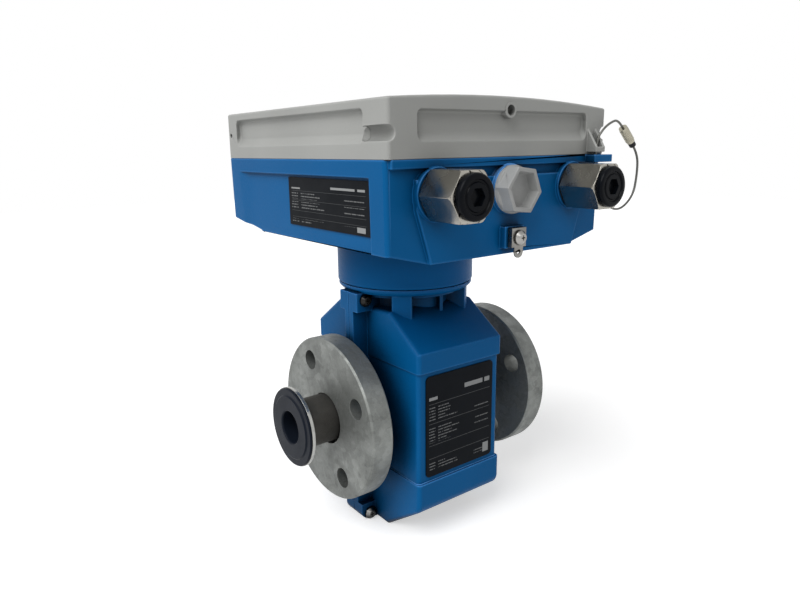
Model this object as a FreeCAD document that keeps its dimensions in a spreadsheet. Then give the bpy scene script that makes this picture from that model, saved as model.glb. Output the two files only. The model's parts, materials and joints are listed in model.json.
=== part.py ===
"""Electromagnetic flow meter with loose flanges and a box-shaped transmitter on a turning neck.

Frame: the origin is the middle of the measuring tube's axis, +X runs with the flow, -Y is the
side of the cable entries and +Z is up. All lengths are millimetres, all angles degrees.
"""

import FreeCAD, Part
import math
import os
import re

import Sketcher

# --------------------------------------------------------------------------- driving dimensions

SIZES = {
    # plays and small roundings that many pieces share
    "fit": 0.05,
    "seat_gap": 0.3,
    "small_bevel": 0.5,
    "head_bevel": 1.0,
    # measuring tube, lining and lap-joint collars
    "face_to_face": 200.0,
    "tube_diameter": 33.7,
    "tube_wall": 2.6,
    "lining_wall": 3.25,
    "lining_flare": 2.3,
    "lining_lip": 1.5,
    "lining_margin": 0.4,
    "lining_bevel": 0.6,
    "collar_reach": 10.45,
    "collar_thickness": 2.6,
    "seal_face_setback": 5.8,
    "seal_face_height": 0.8,
    # loose flanges
    "flange_diameter": 115.0,
    "flange_thickness": 16.5,
    "flange_play": 2.3,
    "flange_edge": 1.2,
    "bolt_circle": 85.0,
    "bolt_hole": 14.0,
    "bolt_turn": 18.5,
    "inlet_flange_back": 28.7,
    "outlet_flange_back": 9.1,
    # split sensor housing
    "shell_half_width": 38.0,
    "shell_half_depth": 62.0,
    "shell_wall": 5.0,
    "shell_round": 3.0,
    "roof_foot": 53.5,
    "roof_top": 76.0,
    "roof_setback": 32.0,
    "belly_foot": -58.0,
    "belly_round": 9.0,
    "base_level": -84.5,
    "base_setback": 37.0,
    "belt_top": 40.0,
    "belt_bottom": -38.5,
    "belt_depth": 2.0,
    "belt_inset": 1.0,
    "parting_gap": 0.2,
    "seam_reach": 12.0,
    "seam_half_depth": 5.0,
    "seam_lap": 0.4,
    "seam_round": 7.0,
    "clamp_half_depth": 10.5,
    "clamp_head_block": 13.5,
    "clamp_foot_block": 12.5,
    "clamp_screw_margin": 7.0,
    "clamp_screw_drop": 5.2,
    "clamp_screw_rise": 4.7,
    "clamp_screw_diameter": 5.0,
    "clamp_head_diameter": 9.0,
    "clamp_head_height": 3.6,
    # collar of the sensor housing and neck of the transmitter
    "collar_post_width": 13.5,
    "collar_post_angle": 49.0,
    "collar_post_setback": 3.2,
    "collar_rib_width": 3.0,
    "collar_rib_x": 4.0,
    "collar_rib_reach": 4.0,
    "collar_core_radius": 32.0,
    "collar_height": 14.9,
    "collar_ring_radius": 48.2,
    "collar_ring_height": 4.3,
    "collar_ring_bevel": 2.2,
    "neck_overhang": 0.6,
    "neck_height": 29.3,
    "neck_spigot_radius": 38.0,
    "neck_rim_reach": 1.5,
    "neck_rim_height": 2.8,
    "neck_wall": 9.0,
    "neck_passage_radius": 27.0,
    "neck_seal_setback": 3.2,
    "neck_seal_width": 3.6,
    "neck_seal_height": 2.0,
    "neck_seal_sink": 0.2,
    # coils, poles, yoke and electrodes
    "coil_outer": 25.0,
    "coil_inner": 9.5,
    "coil_height": 17.0,
    "coil_lift": 1.0,
    "pole_radius": 9.0,
    "pole_gap": 0.4,
    "pole_end": 1.0,
    "yoke_thickness": 3.0,
    "yoke_width": 36.0,
    "yoke_half_depth": 34.0,
    "electrode_radius": 2.5,
    "electrode_head_radius": 5.0,
    "electrode_reach": 30.0,
    "electrode_head_length": 4.0,
    "electrode_setback": 0.6,
    # transmitter housing
    "case_half_width": 88.9,
    "case_taper": 0.9,
    "case_front": 98.0,
    "case_rear": 96.0,
    "case_height": 50.6,
    "case_round": 2.5,
    "case_wall": 7.0,
    "case_floor_wall": 4.0,
    "keel_depth": 6.5,
    "keel_half_width": 60.0,
    "keel_rear": 52.0,
    "rear_slope_length": 46.0,
    "rear_slope_rise": 7.5,
    "apron_half_width": 70.0,
    "apron_lap": 2.5,
    "apron_corner_drop": 26.6,
    "apron_drop": 10.6,
    "sill_height": 5.0,
    "panel_depth": 3.0,
    "panel_front_margin": 15.0,
    "panel_rear_margin": 27.0,
    "panel_ramp": 12.0,
    "panel_drop": 9.6,
    # cable entries
    "entry_drop": 18.8,
    "entry_margin": 32.6,
    "entry_radius": 10.0,
    "entry_boss_radius": 14.7,
    "entry_boss_height": 4.5,
    "gland_gasket": 1.5,
    "gland_width": 27.0,
    "gland_base_length": 13.5,
    "gland_base_bevel": 0.8,
    "gland_nut_length": 11.5,
    "gland_nut_bevel": 1.6,
    "gland_thread": 11.0,
    "gland_bore": 6.5,
    "gland_stop_radius": 12.0,
    "gland_stop_height": 2.2,
    "gland_stop_stem": 8.5,
    "gland_stop_depth": 4.0,
    "gland_stop_key": 9.0,
    "gland_key_depth": 5.0,
    "blank_flange_radius": 15.0,
    "blank_flange_height": 3.5,
    "blank_width": 26.0,
    "blank_height": 7.0,
    "blank_wall": 2.6,
    "blank_turn": 7.0,
    # earth terminal
    "earth_x": 1.0,
    "earth_rise": 10.5,
    "earth_boss_width": 16.0,
    "earth_boss_height": 13.0,
    "earth_boss_reach": 7.0,
    "earth_plate_width": 12.0,
    "earth_plate_height": 11.5,
    "earth_plate_thickness": 1.2,
    "earth_lift": 2.4,
    "earth_tongue_width": 7.0,
    "earth_tongue_length": 6.5,
    "earth_screw_diameter": 4.0,
    "earth_head_diameter": 8.6,
    "earth_head_height": 3.4,
    # lid
    "lid_lap": 2.5,
    "lid_height": 31.0,
    "lid_rise": 2.7,
    "lid_crown_x": -13.0,
    "lid_round": 1.5,
    "lid_wall": 8.0,
    "lid_panel_depth": 3.5,
    "lid_panel_ramp": 4.5,
    "lid_front_margin": 19.6,
    "lid_front_rise": 8.9,
    "lid_front_drop": 5.4,
    "lid_front_lip": 1.0,
    "lid_side_front_margin": 21.5,
    "lid_side_rear_margin": 15.0,
    "lid_side_rise": 8.0,
    "lid_side_drop": 4.6,
    "lid_side_lip": 1.5,
    "lid_port_x": -0.4,
    "lid_port_drop": 5.0,
    "lid_port_outer": 4.6,
    "lid_port_inner": 3.1,
    "lid_port_lip": 0.4,
    "lid_notch_rise": 9.4,
    "lid_notch_height": 8.0,
    "lid_notch_reach": 1.1,
    "lid_drain_radius": 1.5,
    "lid_drain_margin": 5.0,
    "lid_screw_margin": 9.0,
    "lid_screw_radius": 2.0,
    "lid_head_radius": 4.2,
    "lid_head_height": 4.5,
    "lid_head_drop": 12.6,
    "lid_screw_boss": 7.0,
    "lid_screw_depth": 18.0,
    "gasket_width": 3.0,
    "gasket_height": 3.0,
    # eyes for the wire, in the lug of the lid and in the ear of the housing
    "ear_width": 18.5,
    "ear_setback": 0.4,
    "lug_margin": 17.1,
    "lug_pitch": 7.4,
    "lug_plate": 2.0,
    "lug_reach": 7.3,
    "lug_lift": 1.4,
    "lug_floor_thickness": 3.2,
    "lug_height": 16.0,
    "eye_radius": 1.8,
    "eye_reach": 3.5,
    # display and electronics
    "window_length": 96.0,
    "window_width": 58.0,
    "window_rim": 4.0,
    "window_thickness": 3.0,
    "window_drop": 2.3,
    "window_ledge": 5.0,
    "display_gap": 3.0,
    "display_height": 12.0,
    "display_margin": 2.0,
    "module_length": 128.0,
    "module_width": 108.0,
    "module_height": 44.0,
    "module_round": 3.0,
    "module_gap": 2.0,
    "stalk_width": 40.0,
    "terminal_length": 104.0,
    "terminal_depth": 18.0,
    "terminal_height": 16.0,
    "terminal_pitch": 8.0,
    # nameplates
    "plate_thickness": 0.8,
    "sensor_plate_margin": 7.5,
    "sensor_plate_gap": 3.4,
    "sensor_plate_round": 3.0,
    "case_plate_margin": 1.8,
    "case_plate_length": 91.0,
    "case_plate_height": 30.0,
    # wire loop and its clasp
    "wire_diameter": 1.5,
    "clasp_diameter": 5.6,
    "clasp_nut_diameter": 4.6,
    "clasp_nut_length": 4.0,
}

# Widths and places that follow from the sizes: levels are heights above the tube's axis, and
# fronts, rears and reaches are distances from the middle planes.
PLACES = {
    "lining_bore": "tube_diameter - 2 * tube_wall - 2 * lining_wall",
    "collar_diameter": "tube_diameter + 2 * collar_reach",
    "seal_face_diameter": "collar_diameter - 2 * seal_face_setback",
    "flange_bore": "tube_diameter + flange_play",
    "collar_front": "face_to_face / 2 - lining_flare",
    "collar_back": "collar_front - collar_thickness",
    "inlet_flange_face": "inlet_flange_back - face_to_face / 2",
    "outlet_flange_face": "face_to_face / 2 - outlet_flange_back",
    "roof_half_depth": "shell_half_depth - roof_setback",
    "base_half_depth": "shell_half_depth - base_setback",
    "collar_ring_top": "roof_top + collar_height",
    "collar_ring_foot": "collar_ring_top - collar_ring_height",
    "collar_post_radius": "collar_ring_radius - collar_post_setback",
    "seam_half_width": "shell_half_width + seam_reach",
    "seam_top": "collar_ring_foot + seam_lap",
    "clamp_screw_x": "seam_half_width - clamp_screw_margin",
    "clamp_screw_top": "seam_top - clamp_screw_drop",
    "clamp_screw_base": "base_level + clamp_screw_rise",
    "clamp_screw_end": "clamp_half_depth - head_bevel",
    "neck_radius": "collar_ring_radius + neck_overhang",
    "neck_foot": "collar_ring_top + seat_gap",
    "neck_top": "neck_foot + neck_height",
    "neck_rim_radius": "neck_spigot_radius + neck_rim_reach",
    "neck_rim_top": "collar_ring_foot - seat_gap",
    "neck_rim_foot": "neck_rim_top - neck_rim_height",
    "neck_bore_radius": "neck_spigot_radius - neck_wall",
    "neck_seal_inner": "neck_spigot_radius + neck_seal_setback",
    "neck_seal_outer": "neck_seal_inner + neck_seal_width",
    "neck_seal_top": "neck_foot + neck_seal_height",
    "pole_foot": "tube_diameter / 2 + pole_gap",
    "coil_foot": "pole_foot + coil_lift",
    "coil_top": "coil_foot + coil_height",
    "yoke_level": "coil_top + pole_end",
    "case_foot": "neck_top + keel_depth",
    "case_split": "case_foot + case_height",
    "case_floor": "case_foot + case_floor_wall",
    "case_foot_half_width": "case_half_width - case_taper",
    "case_inner_front": "case_front - case_wall",
    "rear_slope_from": "case_rear - rear_slope_length",
    "apron_front": "case_front + apron_lap",
    "apron_corner": "case_split - apron_corner_drop",
    "apron_top": "case_split - apron_drop",
    "sill_foot": "case_split - sill_height",
    "panel_front": "case_front - panel_front_margin",
    "panel_rear": "case_rear - panel_rear_margin",
    "panel_top": "case_split - panel_drop",
    "entry_level": "case_split - entry_drop",
    "entry_pitch": "case_half_width - entry_margin",
    "entry_boss_front": "case_front + entry_boss_height",
    "gland_front": "entry_boss_front + gland_gasket",
    "gland_nut_foot": "gland_front + gland_base_length",
    "gland_nut_end": "gland_nut_foot + gland_nut_length",
    "blank_collar_front": "entry_boss_front + blank_flange_height",
    "blank_head_front": "blank_collar_front + blank_height",
    "earth_level": "neck_top + earth_rise",
    "earth_boss_front": "case_front + earth_boss_reach",
    "earth_plate_front": "earth_boss_front + earth_lift + earth_plate_thickness",
    "earth_plate_foot": "earth_level - earth_plate_height / 2",
    "lid_front": "case_front + lid_lap",
    "lid_edge": "case_split + lid_height",
    "lid_crown": "lid_edge + lid_rise",
    "lid_front_reach": "case_half_width - lid_front_margin",
    "lid_front_foot": "case_split + lid_front_rise",
    "lid_front_top": "lid_edge - lid_front_drop",
    "lid_front_floor": "lid_front - lid_panel_depth",
    "lid_side_front": "lid_front - lid_side_front_margin",
    "lid_side_rear": "case_rear - lid_side_rear_margin",
    "lid_side_foot": "case_split + lid_side_rise",
    "lid_side_top": "lid_edge - lid_side_drop",
    "lid_side_floor": "case_half_width - lid_panel_depth",
    "lid_port_level": "lid_edge - lid_port_drop",
    "lid_notch_foot": "case_split + lid_notch_rise",
    "lid_notch_top": "lid_notch_foot + lid_notch_height",
    "lid_notch_floor": "lid_notch_reach - case_half_width",
    "lid_screw_x": "case_half_width - lid_screw_margin",
    "lid_screw_front": "case_front - lid_screw_margin",
    "lid_screw_rear": "case_rear - lid_screw_margin",
    "lid_head_level": "lid_edge - lid_head_drop",
    "lid_head_top": "lid_head_level + lid_head_height",
    "lid_screw_foot": "case_split - lid_screw_depth",
    "gasket_foot": "case_split - gasket_height / 2",
    "gasket_top": "case_split + gasket_height / 2",
    "window_level": "lid_crown - window_drop",
    "window_foot": "window_level - window_thickness",
    "lid_ceiling": "window_foot - window_ledge",
    "display_level": "lid_ceiling - display_gap",
    "display_foot": "display_level - display_height",
    "module_top": "case_floor + module_height",
    "module_rear": "case_rear - case_wall - module_gap",
    "module_front": "module_rear - module_width",
    "terminal_top": "case_floor + terminal_height",
    "ear_end": "case_half_width - ear_setback",
    "ear_top": "case_split - seat_gap",
    "lug_front": "lid_front + lug_reach",
    "lug_left": "case_half_width - lug_margin - lug_plate / 2",
    "lug_right": "lug_left + lug_pitch + lug_plate",
    "lug_foot": "case_split + lug_lift",
    "lug_floor": "lug_foot + lug_floor_thickness",
    "lug_top": "case_split + lug_height",
    "eye_x": "case_half_width - lug_margin + lug_pitch / 2",
    "eye_front": "lid_front + eye_reach",
    "sensor_plate_half_width": "shell_half_width - sensor_plate_margin",
    "sensor_plate_back": "shell_half_depth - belt_depth",
    "case_plate_front": "panel_front - case_plate_margin",
    "case_plate_top": "panel_top - case_plate_margin",
    "case_plate_back": "case_half_width - panel_depth",
}

# Route of the wire loop, as steps from the point on the split between the two eyes: from the
# lower end of its clasp round and up through both eyes, and back to the clasp's upper end.
WIRE_ROUTE = [
    (39.3, -1.0, 4.9),
    (45.65, -1.0, -0.9),
    (46.7, -1.0, -13.7),
    (43.4, -1.0, -30.0),
    (25.8, -1.0, -39.3),
    (7.7, -0.7, -29.7),
    (0.0, 0.0, -9.1),
    (0.0, -0.3, 8.9),
    (3.9, -2.2, 15.8),
    (12.5, -1.4, 19.9),
    (20.82, -1.0, 21.8),
    (26.5, -1.0, 16.6),
]

os.makedirs("parts", exist_ok=True)
doc = FreeCAD.newDocument("flow_meter")


def formula(text):
    """Expression text in which each name of a size or place points at its cell of a sheet."""
    def pointer(word):
        home = "sizes." if word[0] in SIZES else "places." if word[0] in PLACES else ""
        return home + word[0]
    return re.sub(r"[a-z_]+", pointer, str(text))


def filled_sheet(name, cells):
    """A sheet with a name and a number or formula in each row, the name as its alias."""
    sheet = doc.addObject("Spreadsheet::Sheet", name)
    for row, (alias, content) in enumerate(cells.items(), start=1):
        sheet.set(f"A{row}", alias)
        sheet.set(f"B{row}", content)
        sheet.setAlias(f"B{row}", alias)
    doc.recompute()
    return sheet


size_sheet = filled_sheet("sizes", {alias: str(number) for alias, number in SIZES.items()})
place_sheet = filled_sheet("places", {alias: "=" + formula(text) for alias, text in PLACES.items()})

# --------------------------------------------------------------------------- building helpers

UPRIGHT = FreeCAD.Rotation()
ALONG_X = FreeCAD.Rotation(FreeCAD.Vector(0, 1, 0), 90)
ALONG_Y = FreeCAD.Rotation(FreeCAD.Vector(1, 0, 0), -90)
SEAM_ASIDE = FreeCAD.Rotation(FreeCAD.Vector(0, 0, 1), 45)


def size(alias):
    """The number that a size or place has now."""
    return float((size_sheet if alias in SIZES else place_sheet).get(alias))


def bind(item, **properties):
    for name, text in properties.items():
        item.setExpression(name, formula(text))
    return item


def place(item, x=0, y=0, z=0, rotation=UPRIGHT):
    item.Placement = FreeCAD.Placement(FreeCAD.Vector(), rotation)
    for axis, text in zip("xyz", (x, y, z)):
        item.setExpression(f"Placement.Base.{axis}", formula(text))
    return item


def named(item, label):
    item.Label = label
    return item


def body_sketch(body, role, offset=0):
    """An empty sketch on one of the body's own origin planes, moved along its normal."""
    sketch = body.newObject("Sketcher::SketchObject", body.Name + "_sketch")
    base = next(plane for plane in body.Origin.OriginFeatures if plane.Role == role)
    sketch.AttachmentSupport = (base, [""])
    sketch.MapMode = "FlatFace"
    sketch.setExpression("AttachmentOffset.Base.z", formula(offset))
    return sketch


def draw_outline(sketch, points):
    """A closed outline, each corner held at its two coordinates by bound dimensions."""
    count = len(points)
    start = [FreeCAD.Vector(math.cos(6.28 * k / count), math.sin(6.28 * k / count)) for k in range(count)]
    for k in range(count):
        sketch.addGeometry(Part.LineSegment(start[k], start[(k + 1) % count]))
    for k in range(count):
        sketch.addConstraint(Sketcher.Constraint("Coincident", k, 2, (k + 1) % count, 1))
    for k, corner in enumerate(points):
        for kind, text, value in zip(("DistanceX", "DistanceY"), corner, start[k]):
            held = sketch.addConstraint(Sketcher.Constraint(kind, -1, 1, k, 1, value))
            sketch.setExpression(f"Constraints[{held}]", formula(text))


def extruded(label, role, points, start, length):
    """A body padded from an outline, from the coordinate start onwards by length."""
    body = doc.addObject("PartDesign::Body", label)
    against = role == "XZ_Plane"
    sketch = body_sketch(body, role, f"-({start})" if against else start)
    draw_outline(sketch, points)
    pad = body.newObject("PartDesign::Pad", label + "_pad")
    pad.Profile = sketch
    pad.Reversed = against
    bind(pad, Length=length)
    return named(body, label)


def turned(label, axis, points):
    """A body of revolution about X, Y or Z, its outline given as (along the axis, radius)."""
    body = doc.addObject("PartDesign::Body", label)
    sketch = body_sketch(body, "YZ_Plane" if axis == "Y" else "XZ_Plane")
    draw_outline(sketch, [(radius, along) for along, radius in points] if axis == "Z" else points)
    turn = body.newObject("PartDesign::Revolution", label + "_turn")
    turn.Profile = sketch
    turn.ReferenceAxis = (sketch, ["V_Axis" if axis == "Z" else "H_Axis"])
    turn.Angle = 360
    return named(body, label)


def block(label, x, y, z):
    """A box between two coordinates along each axis."""
    box = doc.addObject("Part::Box", label)
    for side, (low, high) in zip(("Length", "Width", "Height"), (x, y, z)):
        box.setExpression(side, formula(f"({high}) - ({low})"))
    return place(box, x[0], y[0], z[0])


def rod(label, rotation, radius, length, x=0, y=0, z=0):
    """A cylinder that starts at a point and runs along X, Y or Z."""
    cylinder = doc.addObject("Part::Cylinder", label)
    bind(cylinder, Radius=radius, Height=length)
    return place(cylinder, x, y, z, rotation)


def joined(label, pieces):
    fusion = doc.addObject("Part::MultiFuse", label)
    fusion.Shapes = pieces
    return named(fusion, label)


def less(label, solid, tools):
    """The solid with one or more others taken away."""
    cut = doc.addObject("Part::Cut", label)
    cut.Base = solid
    cut.Tool = tools[0] if len(tools) == 1 else joined(label + "_tools", tools)
    return named(cut, label)


def shared(label, solid, other):
    common = doc.addObject("Part::Common", label)
    common.Base, common.Tool = solid, other
    return named(common, label)


def group(label, pieces):
    compound = doc.addObject("Part::Compound", label)
    compound.Links = pieces
    return named(compound, label)


def mirrored(label, source, normal):
    mirror = doc.addObject("Part::Mirroring", label)
    mirror.Source = source
    mirror.Normal = normal
    return named(mirror, label)


def rounded(label, source, radius, wanted, kind="Part::Fillet"):
    """Rounds, or with Part::Chamfer bevels, the straight edges for which wanted(edge) holds."""
    doc.recompute()
    numbers = [k for k, edge in enumerate(source.Shape.Edges, start=1) if wanted(edge)]
    blend = doc.addObject(kind, label)
    blend.Base = source
    blend.Edges = [(k, radius, radius) for k in numbers]
    return named(blend, label)


def runs_along(edge, axis):
    """Whether a straight edge runs along a coordinate axis, given as 0, 1 or 2."""
    ends = [vertex.Point for vertex in edge.Vertexes]
    if len(ends) < 2 or edge.Curve.TypeId != "Part::GeomLine":
        return False
    direction = (ends[1] - ends[0]).normalize()
    return abs(direction[axis]) > 0.999


def middle(edge):
    return (edge.Vertexes[0].Point + edge.Vertexes[-1].Point) * 0.5


def hexagon(width, x=0, z=0):
    """Corners of a hexagon of the given width across flats, with flats above and below."""
    corner, half = f"({width}) / sqrt(3)", f"({width}) / 2"
    steps = [(1, 0), (0.5, 1), (-0.5, 1), (-1, 0), (-0.5, -1), (0.5, -1)]
    return [(f"{x} + {a} * {corner}", f"{z} + {b} * {half}") for a, b in steps]


# --------------------------------------------------------------------------- measuring tube

def measuring_tube():
    return turned("measuring_tube", "X", [
        ("-collar_front", "tube_diameter / 2 - tube_wall"),
        ("collar_front", "tube_diameter / 2 - tube_wall"),
        ("collar_front", "tube_diameter / 2"),
        ("-collar_front", "tube_diameter / 2"),
    ])


def lap_collar():
    """The ring at the outlet that the loose flange pulls against."""
    return turned("outlet_collar", "X", [
        ("collar_back", "tube_diameter / 2 + fit"),
        ("collar_back", "collar_diameter / 2 - small_bevel"),
        ("collar_back + small_bevel", "collar_diameter / 2"),
        ("collar_front", "collar_diameter / 2"),
        ("collar_front", "tube_diameter / 2 + fit"),
    ])


def tube_lining():
    """The plastic lining, flared over both collars, with a raised sealing face at each end."""
    end, step = "face_to_face / 2", "face_to_face / 2 - seal_face_height"
    flare = "collar_diameter / 2 - lining_margin"
    outlet = [
        ("collar_front", "tube_diameter / 2 - tube_wall"),
        ("collar_front", flare),
        (f"{step} - lining_bevel", flare),
        (step, f"{flare} - lining_bevel"),
        (step, "seal_face_diameter / 2 + seal_face_height"),
        (end, "seal_face_diameter / 2"),
        (end, "lining_bore / 2 + lining_lip"),
        (f"{end} - 0.3 * lining_lip", "lining_bore / 2 + 0.3 * lining_lip"),
        (f"{end} - lining_lip", "lining_bore / 2"),
    ]
    inlet = [(f"-({along})", radius) for along, radius in reversed(outlet)]
    return turned("tube_lining", "X", inlet + outlet)


def loose_flange(label, outer_face, inward):
    """A drilled plate flange, hanging on the tube by the play of its bore."""
    half = "flange_diameter / 2"
    body = turned(label, "X", [
        ("0", "flange_bore / 2"),
        ("0", f"{half} - flange_edge"),
        ("flange_edge", half),
        ("flange_thickness - flange_edge", half),
        ("flange_thickness", f"{half} - flange_edge"),
        ("flange_thickness", "flange_bore / 2"),
    ])
    sketch = body_sketch(body, "YZ_Plane")
    hole = sketch.addGeometry(Part.Circle(FreeCAD.Vector(1, 1, 0), FreeCAD.Vector(0, 0, 1), 1))
    for kind, way in (("DistanceX", "cos"), ("DistanceY", "sin")):
        held = sketch.addConstraint(Sketcher.Constraint(kind, -1, 1, hole, 3, 1))
        sketch.setExpression(f"Constraints[{held}]", formula(f"bolt_circle / 2 * {way}(45 + bolt_turn)"))
    held = sketch.addConstraint(Sketcher.Constraint("Radius", hole, 1))
    sketch.setExpression(f"Constraints[{held}]", formula("bolt_hole / 2"))
    pocket = body.newObject("PartDesign::Pocket", label + "_hole")
    pocket.Profile = sketch
    pocket.Reversed = True
    bind(pocket, Length="flange_thickness")
    doc.recompute()
    pattern = body.newObject("PartDesign::PolarPattern", label + "_holes")
    pattern.Originals = [pocket]
    pattern.Axis = (sketch, ["N_Axis"])
    pattern.Angle = 360
    pattern.Occurrences = 4
    body.Tip = pattern
    start = outer_face if inward > 0 else f"{outer_face} - flange_thickness"
    return place(body, start, 0, "-((flange_bore - tube_diameter) / 2 - seat_gap)")


# --------------------------------------------------------------------------- sensor housing

ALL_X = ("-2 * seam_half_width", "2 * seam_half_width")
ALL_Y = ("-2 * shell_half_depth", "2 * shell_half_depth")


def casing_outline(inset=0):
    """Side outline of the sensor housing as (y, z), optionally set in by a wall."""
    depth = f"shell_half_depth - {inset}"
    right = [
        (f"base_half_depth - 0.3 * {inset}", f"base_level + {inset}"),
        (depth, f"belly_foot + 0.5 * {inset}"),
        (depth, f"roof_foot - 0.6 * {inset}"),
        (f"roof_half_depth - 0.3 * {inset}", f"roof_top - {inset}"),
    ]
    return right + [(f"-({y})", z) for y, z in reversed(right)]


def casing():
    """The box of the sensor housing with a belt set back round its middle."""
    whole = extruded("casing_block", "YZ_Plane", casing_outline(),
                     "-shell_half_width", "2 * shell_half_width")
    limit = size("shell_half_depth") - 0.01
    whole = rounded("casing_belly", whole, size("belly_round"),
                    lambda edge: runs_along(edge, 0) and abs(middle(edge).y) > limit and middle(edge).z < 0)
    box = rounded("casing_round", whole, size("shell_round"), lambda edge: not runs_along(edge, 0))
    soft = rounded("casing_soft", box, size("shell_round") * 0.5,
                   lambda edge: runs_along(edge, 0) and abs(middle(edge).y) < limit
                   and middle(edge).z > 0)
    band = block("belt_band", ALL_X, ALL_Y, ("belt_bottom", "belt_top"))
    half_width, half_depth = "shell_half_width - belt_inset", "shell_half_depth - belt_depth"
    core = block("belt_core_block", (f"-({half_width})", half_width), (f"-({half_depth})", half_depth),
                 ("2 * base_level", "2 * roof_top"))
    core = rounded("belt_core", core, size("shell_round"), lambda edge: runs_along(edge, 2))
    return less("casing", soft, [less("belt", band, [core])])


def seam():
    """The rim along the parting plane of the two halves, thicker at its four clamp screws."""
    plate = block("seam_plate", ("-seam_half_width", "seam_half_width"),
                  ("-seam_half_depth", "seam_half_depth"), ("base_level", "seam_top"))
    thick = ("-clamp_half_depth", "clamp_half_depth")
    top = block("seam_head", ("-seam_half_width", "seam_half_width"), thick,
                ("seam_top - clamp_head_block", "seam_top"))
    base = block("seam_foot", ("-seam_half_width", "seam_half_width"), thick,
                 ("base_level", "base_level + clamp_foot_block"))
    rim = joined("seam_block", [plate, top, base])
    low = size("base_level") + 1
    return rounded("seam", rim, size("seam_round"),
                   lambda edge: runs_along(edge, 1) and middle(edge).z < low
                   and abs(middle(edge).x) > size("shell_half_width"))


def collar_posts():
    """Four posts and two thin ribs that carry the collar ring above the roof."""
    posts = []
    for quarter, turn in enumerate(("", "180 - ", "180 + ", "360 - ")):
        post = block(f"post_{quarter}", (0, "collar_post_radius"), (0, "collar_post_width"),
                     ("roof_foot", "collar_ring_foot"))
        angle = f"({turn}collar_post_angle)"
        post.Placement.Rotation = FreeCAD.Rotation(FreeCAD.Vector(0, 0, 1), 10)
        post.setExpression("Placement.Rotation.Angle", formula(f"{angle} * 1 deg"))
        half = "collar_post_width / 2"
        post.setExpression("Placement.Base.x", formula(f"{half} * sin{angle}"))
        post.setExpression("Placement.Base.y", formula(f"-{half} * cos{angle}"))
        posts.append(post)
    rib = block("rib", ("collar_rib_x - collar_rib_width / 2", "collar_rib_x + collar_rib_width / 2"),
                ("-collar_core_radius - collar_rib_reach", "collar_core_radius + collar_rib_reach"),
                ("roof_foot", "collar_ring_foot"))
    reach = rod("post_reach", UPRIGHT, "collar_post_radius", "collar_ring_foot - roof_foot", z="roof_foot")
    return shared("collar_posts", joined("post_blocks", posts + [rib]), reach)


def collar_ring():
    """The ring on top of the sensor housing that grips the neck of the transmitter."""
    return turned("collar_ring", "Z", [
        ("collar_ring_foot", "neck_spigot_radius + fit"),
        ("collar_ring_foot", "collar_ring_radius - collar_ring_bevel"),
        ("collar_ring_foot + collar_ring_bevel", "collar_ring_radius"),
        ("collar_ring_top - small_bevel", "collar_ring_radius"),
        ("collar_ring_top", "collar_ring_radius - small_bevel"),
        ("collar_ring_top", "neck_spigot_radius + fit"),
    ])


def half_shells():
    """The die-cast sensor housing, split along the tube into a front and a rear half."""
    core = rod("collar_core", UPRIGHT, "collar_core_radius", "neck_rim_foot - seat_gap - roof_foot",
               z="roof_foot")
    solid = joined("housing_solid", [casing(), seam(), core, collar_posts(), collar_ring()])
    inner = "shell_half_width - shell_wall"
    chamber = extruded("coil_chamber", "YZ_Plane", casing_outline("shell_wall"),
                       f"-({inner})", f"2 * ({inner})")
    passage = rod("neck_passage", UPRIGHT, "neck_passage_radius", "neck_top", z=0)
    rim_room = rod("rim_room", UPRIGHT, "neck_rim_radius + seat_gap",
                   "neck_rim_height + 2 * seat_gap", z="neck_rim_foot - seat_gap")
    spigot_room = rod("spigot_room", UPRIGHT, "neck_spigot_radius + fit",
                      "neck_top - collar_ring_foot", z="collar_ring_foot")
    tube_hole = rod("tube_hole", ALONG_X, "tube_diameter / 2 + fit", "4 * seam_half_width",
                    x="-2 * seam_half_width")
    holes = [
        rod(f"clamp_hole_{side}_{level}", ALONG_Y, "clamp_screw_diameter / 2 + fit", "4 * clamp_half_depth",
            x=f"{side} * clamp_screw_x", y="-2 * clamp_half_depth", z=f"clamp_screw_{level}")
        for side in (-1, 1) for level in ("top", "base")
    ]
    housing = less("housing", solid, [chamber, passage, rim_room, spigot_room, tube_hole] + holes)
    height = ("2 * base_level", "2 * collar_ring_top")
    front = block("front_room", ALL_X, ("-2 * shell_half_depth", "-parting_gap / 2"), height)
    rear = block("rear_room", ALL_X, ("parting_gap / 2", "2 * shell_half_depth"), height)
    return [shared("front_half_shell", housing, front), shared("rear_half_shell", housing, rear)]


def clamp_screws():
    """The four pan-head screws that pull the two halves together."""
    screws = []
    for side in (-1, 1):
        for level in ("top", "base"):
            screw = turned(f"clamp_screw_{'left' if side < 0 else 'right'}_{level}", "Y", [
                ("-clamp_half_depth - clamp_head_height", 0),
                ("-clamp_half_depth - clamp_head_height", "clamp_head_diameter * 0.3"),
                ("-clamp_half_depth - 0.4 * clamp_head_height", "clamp_head_diameter / 2"),
                ("-clamp_half_depth", "clamp_head_diameter / 2"),
                ("-clamp_half_depth", "clamp_screw_diameter / 2"),
                ("clamp_screw_end", "clamp_screw_diameter / 2"),
                ("clamp_screw_end", 0),
            ])
            screws.append(place(screw, f"{side} * clamp_screw_x", 0, f"clamp_screw_{level}"))
    return group("clamp_screws", screws)


def sensor_nameplate():
    plate = block("sensor_plate_block", ("-sensor_plate_half_width", "sensor_plate_half_width"),
                  ("-sensor_plate_back - plate_thickness", "-sensor_plate_back"),
                  ("belt_bottom + sensor_plate_gap", "belt_top - sensor_plate_gap"))
    return rounded("sensor_nameplate", plate, size("sensor_plate_round"), lambda edge: runs_along(edge, 1))


# --------------------------------------------------------------------------- magnet and electrodes

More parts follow.
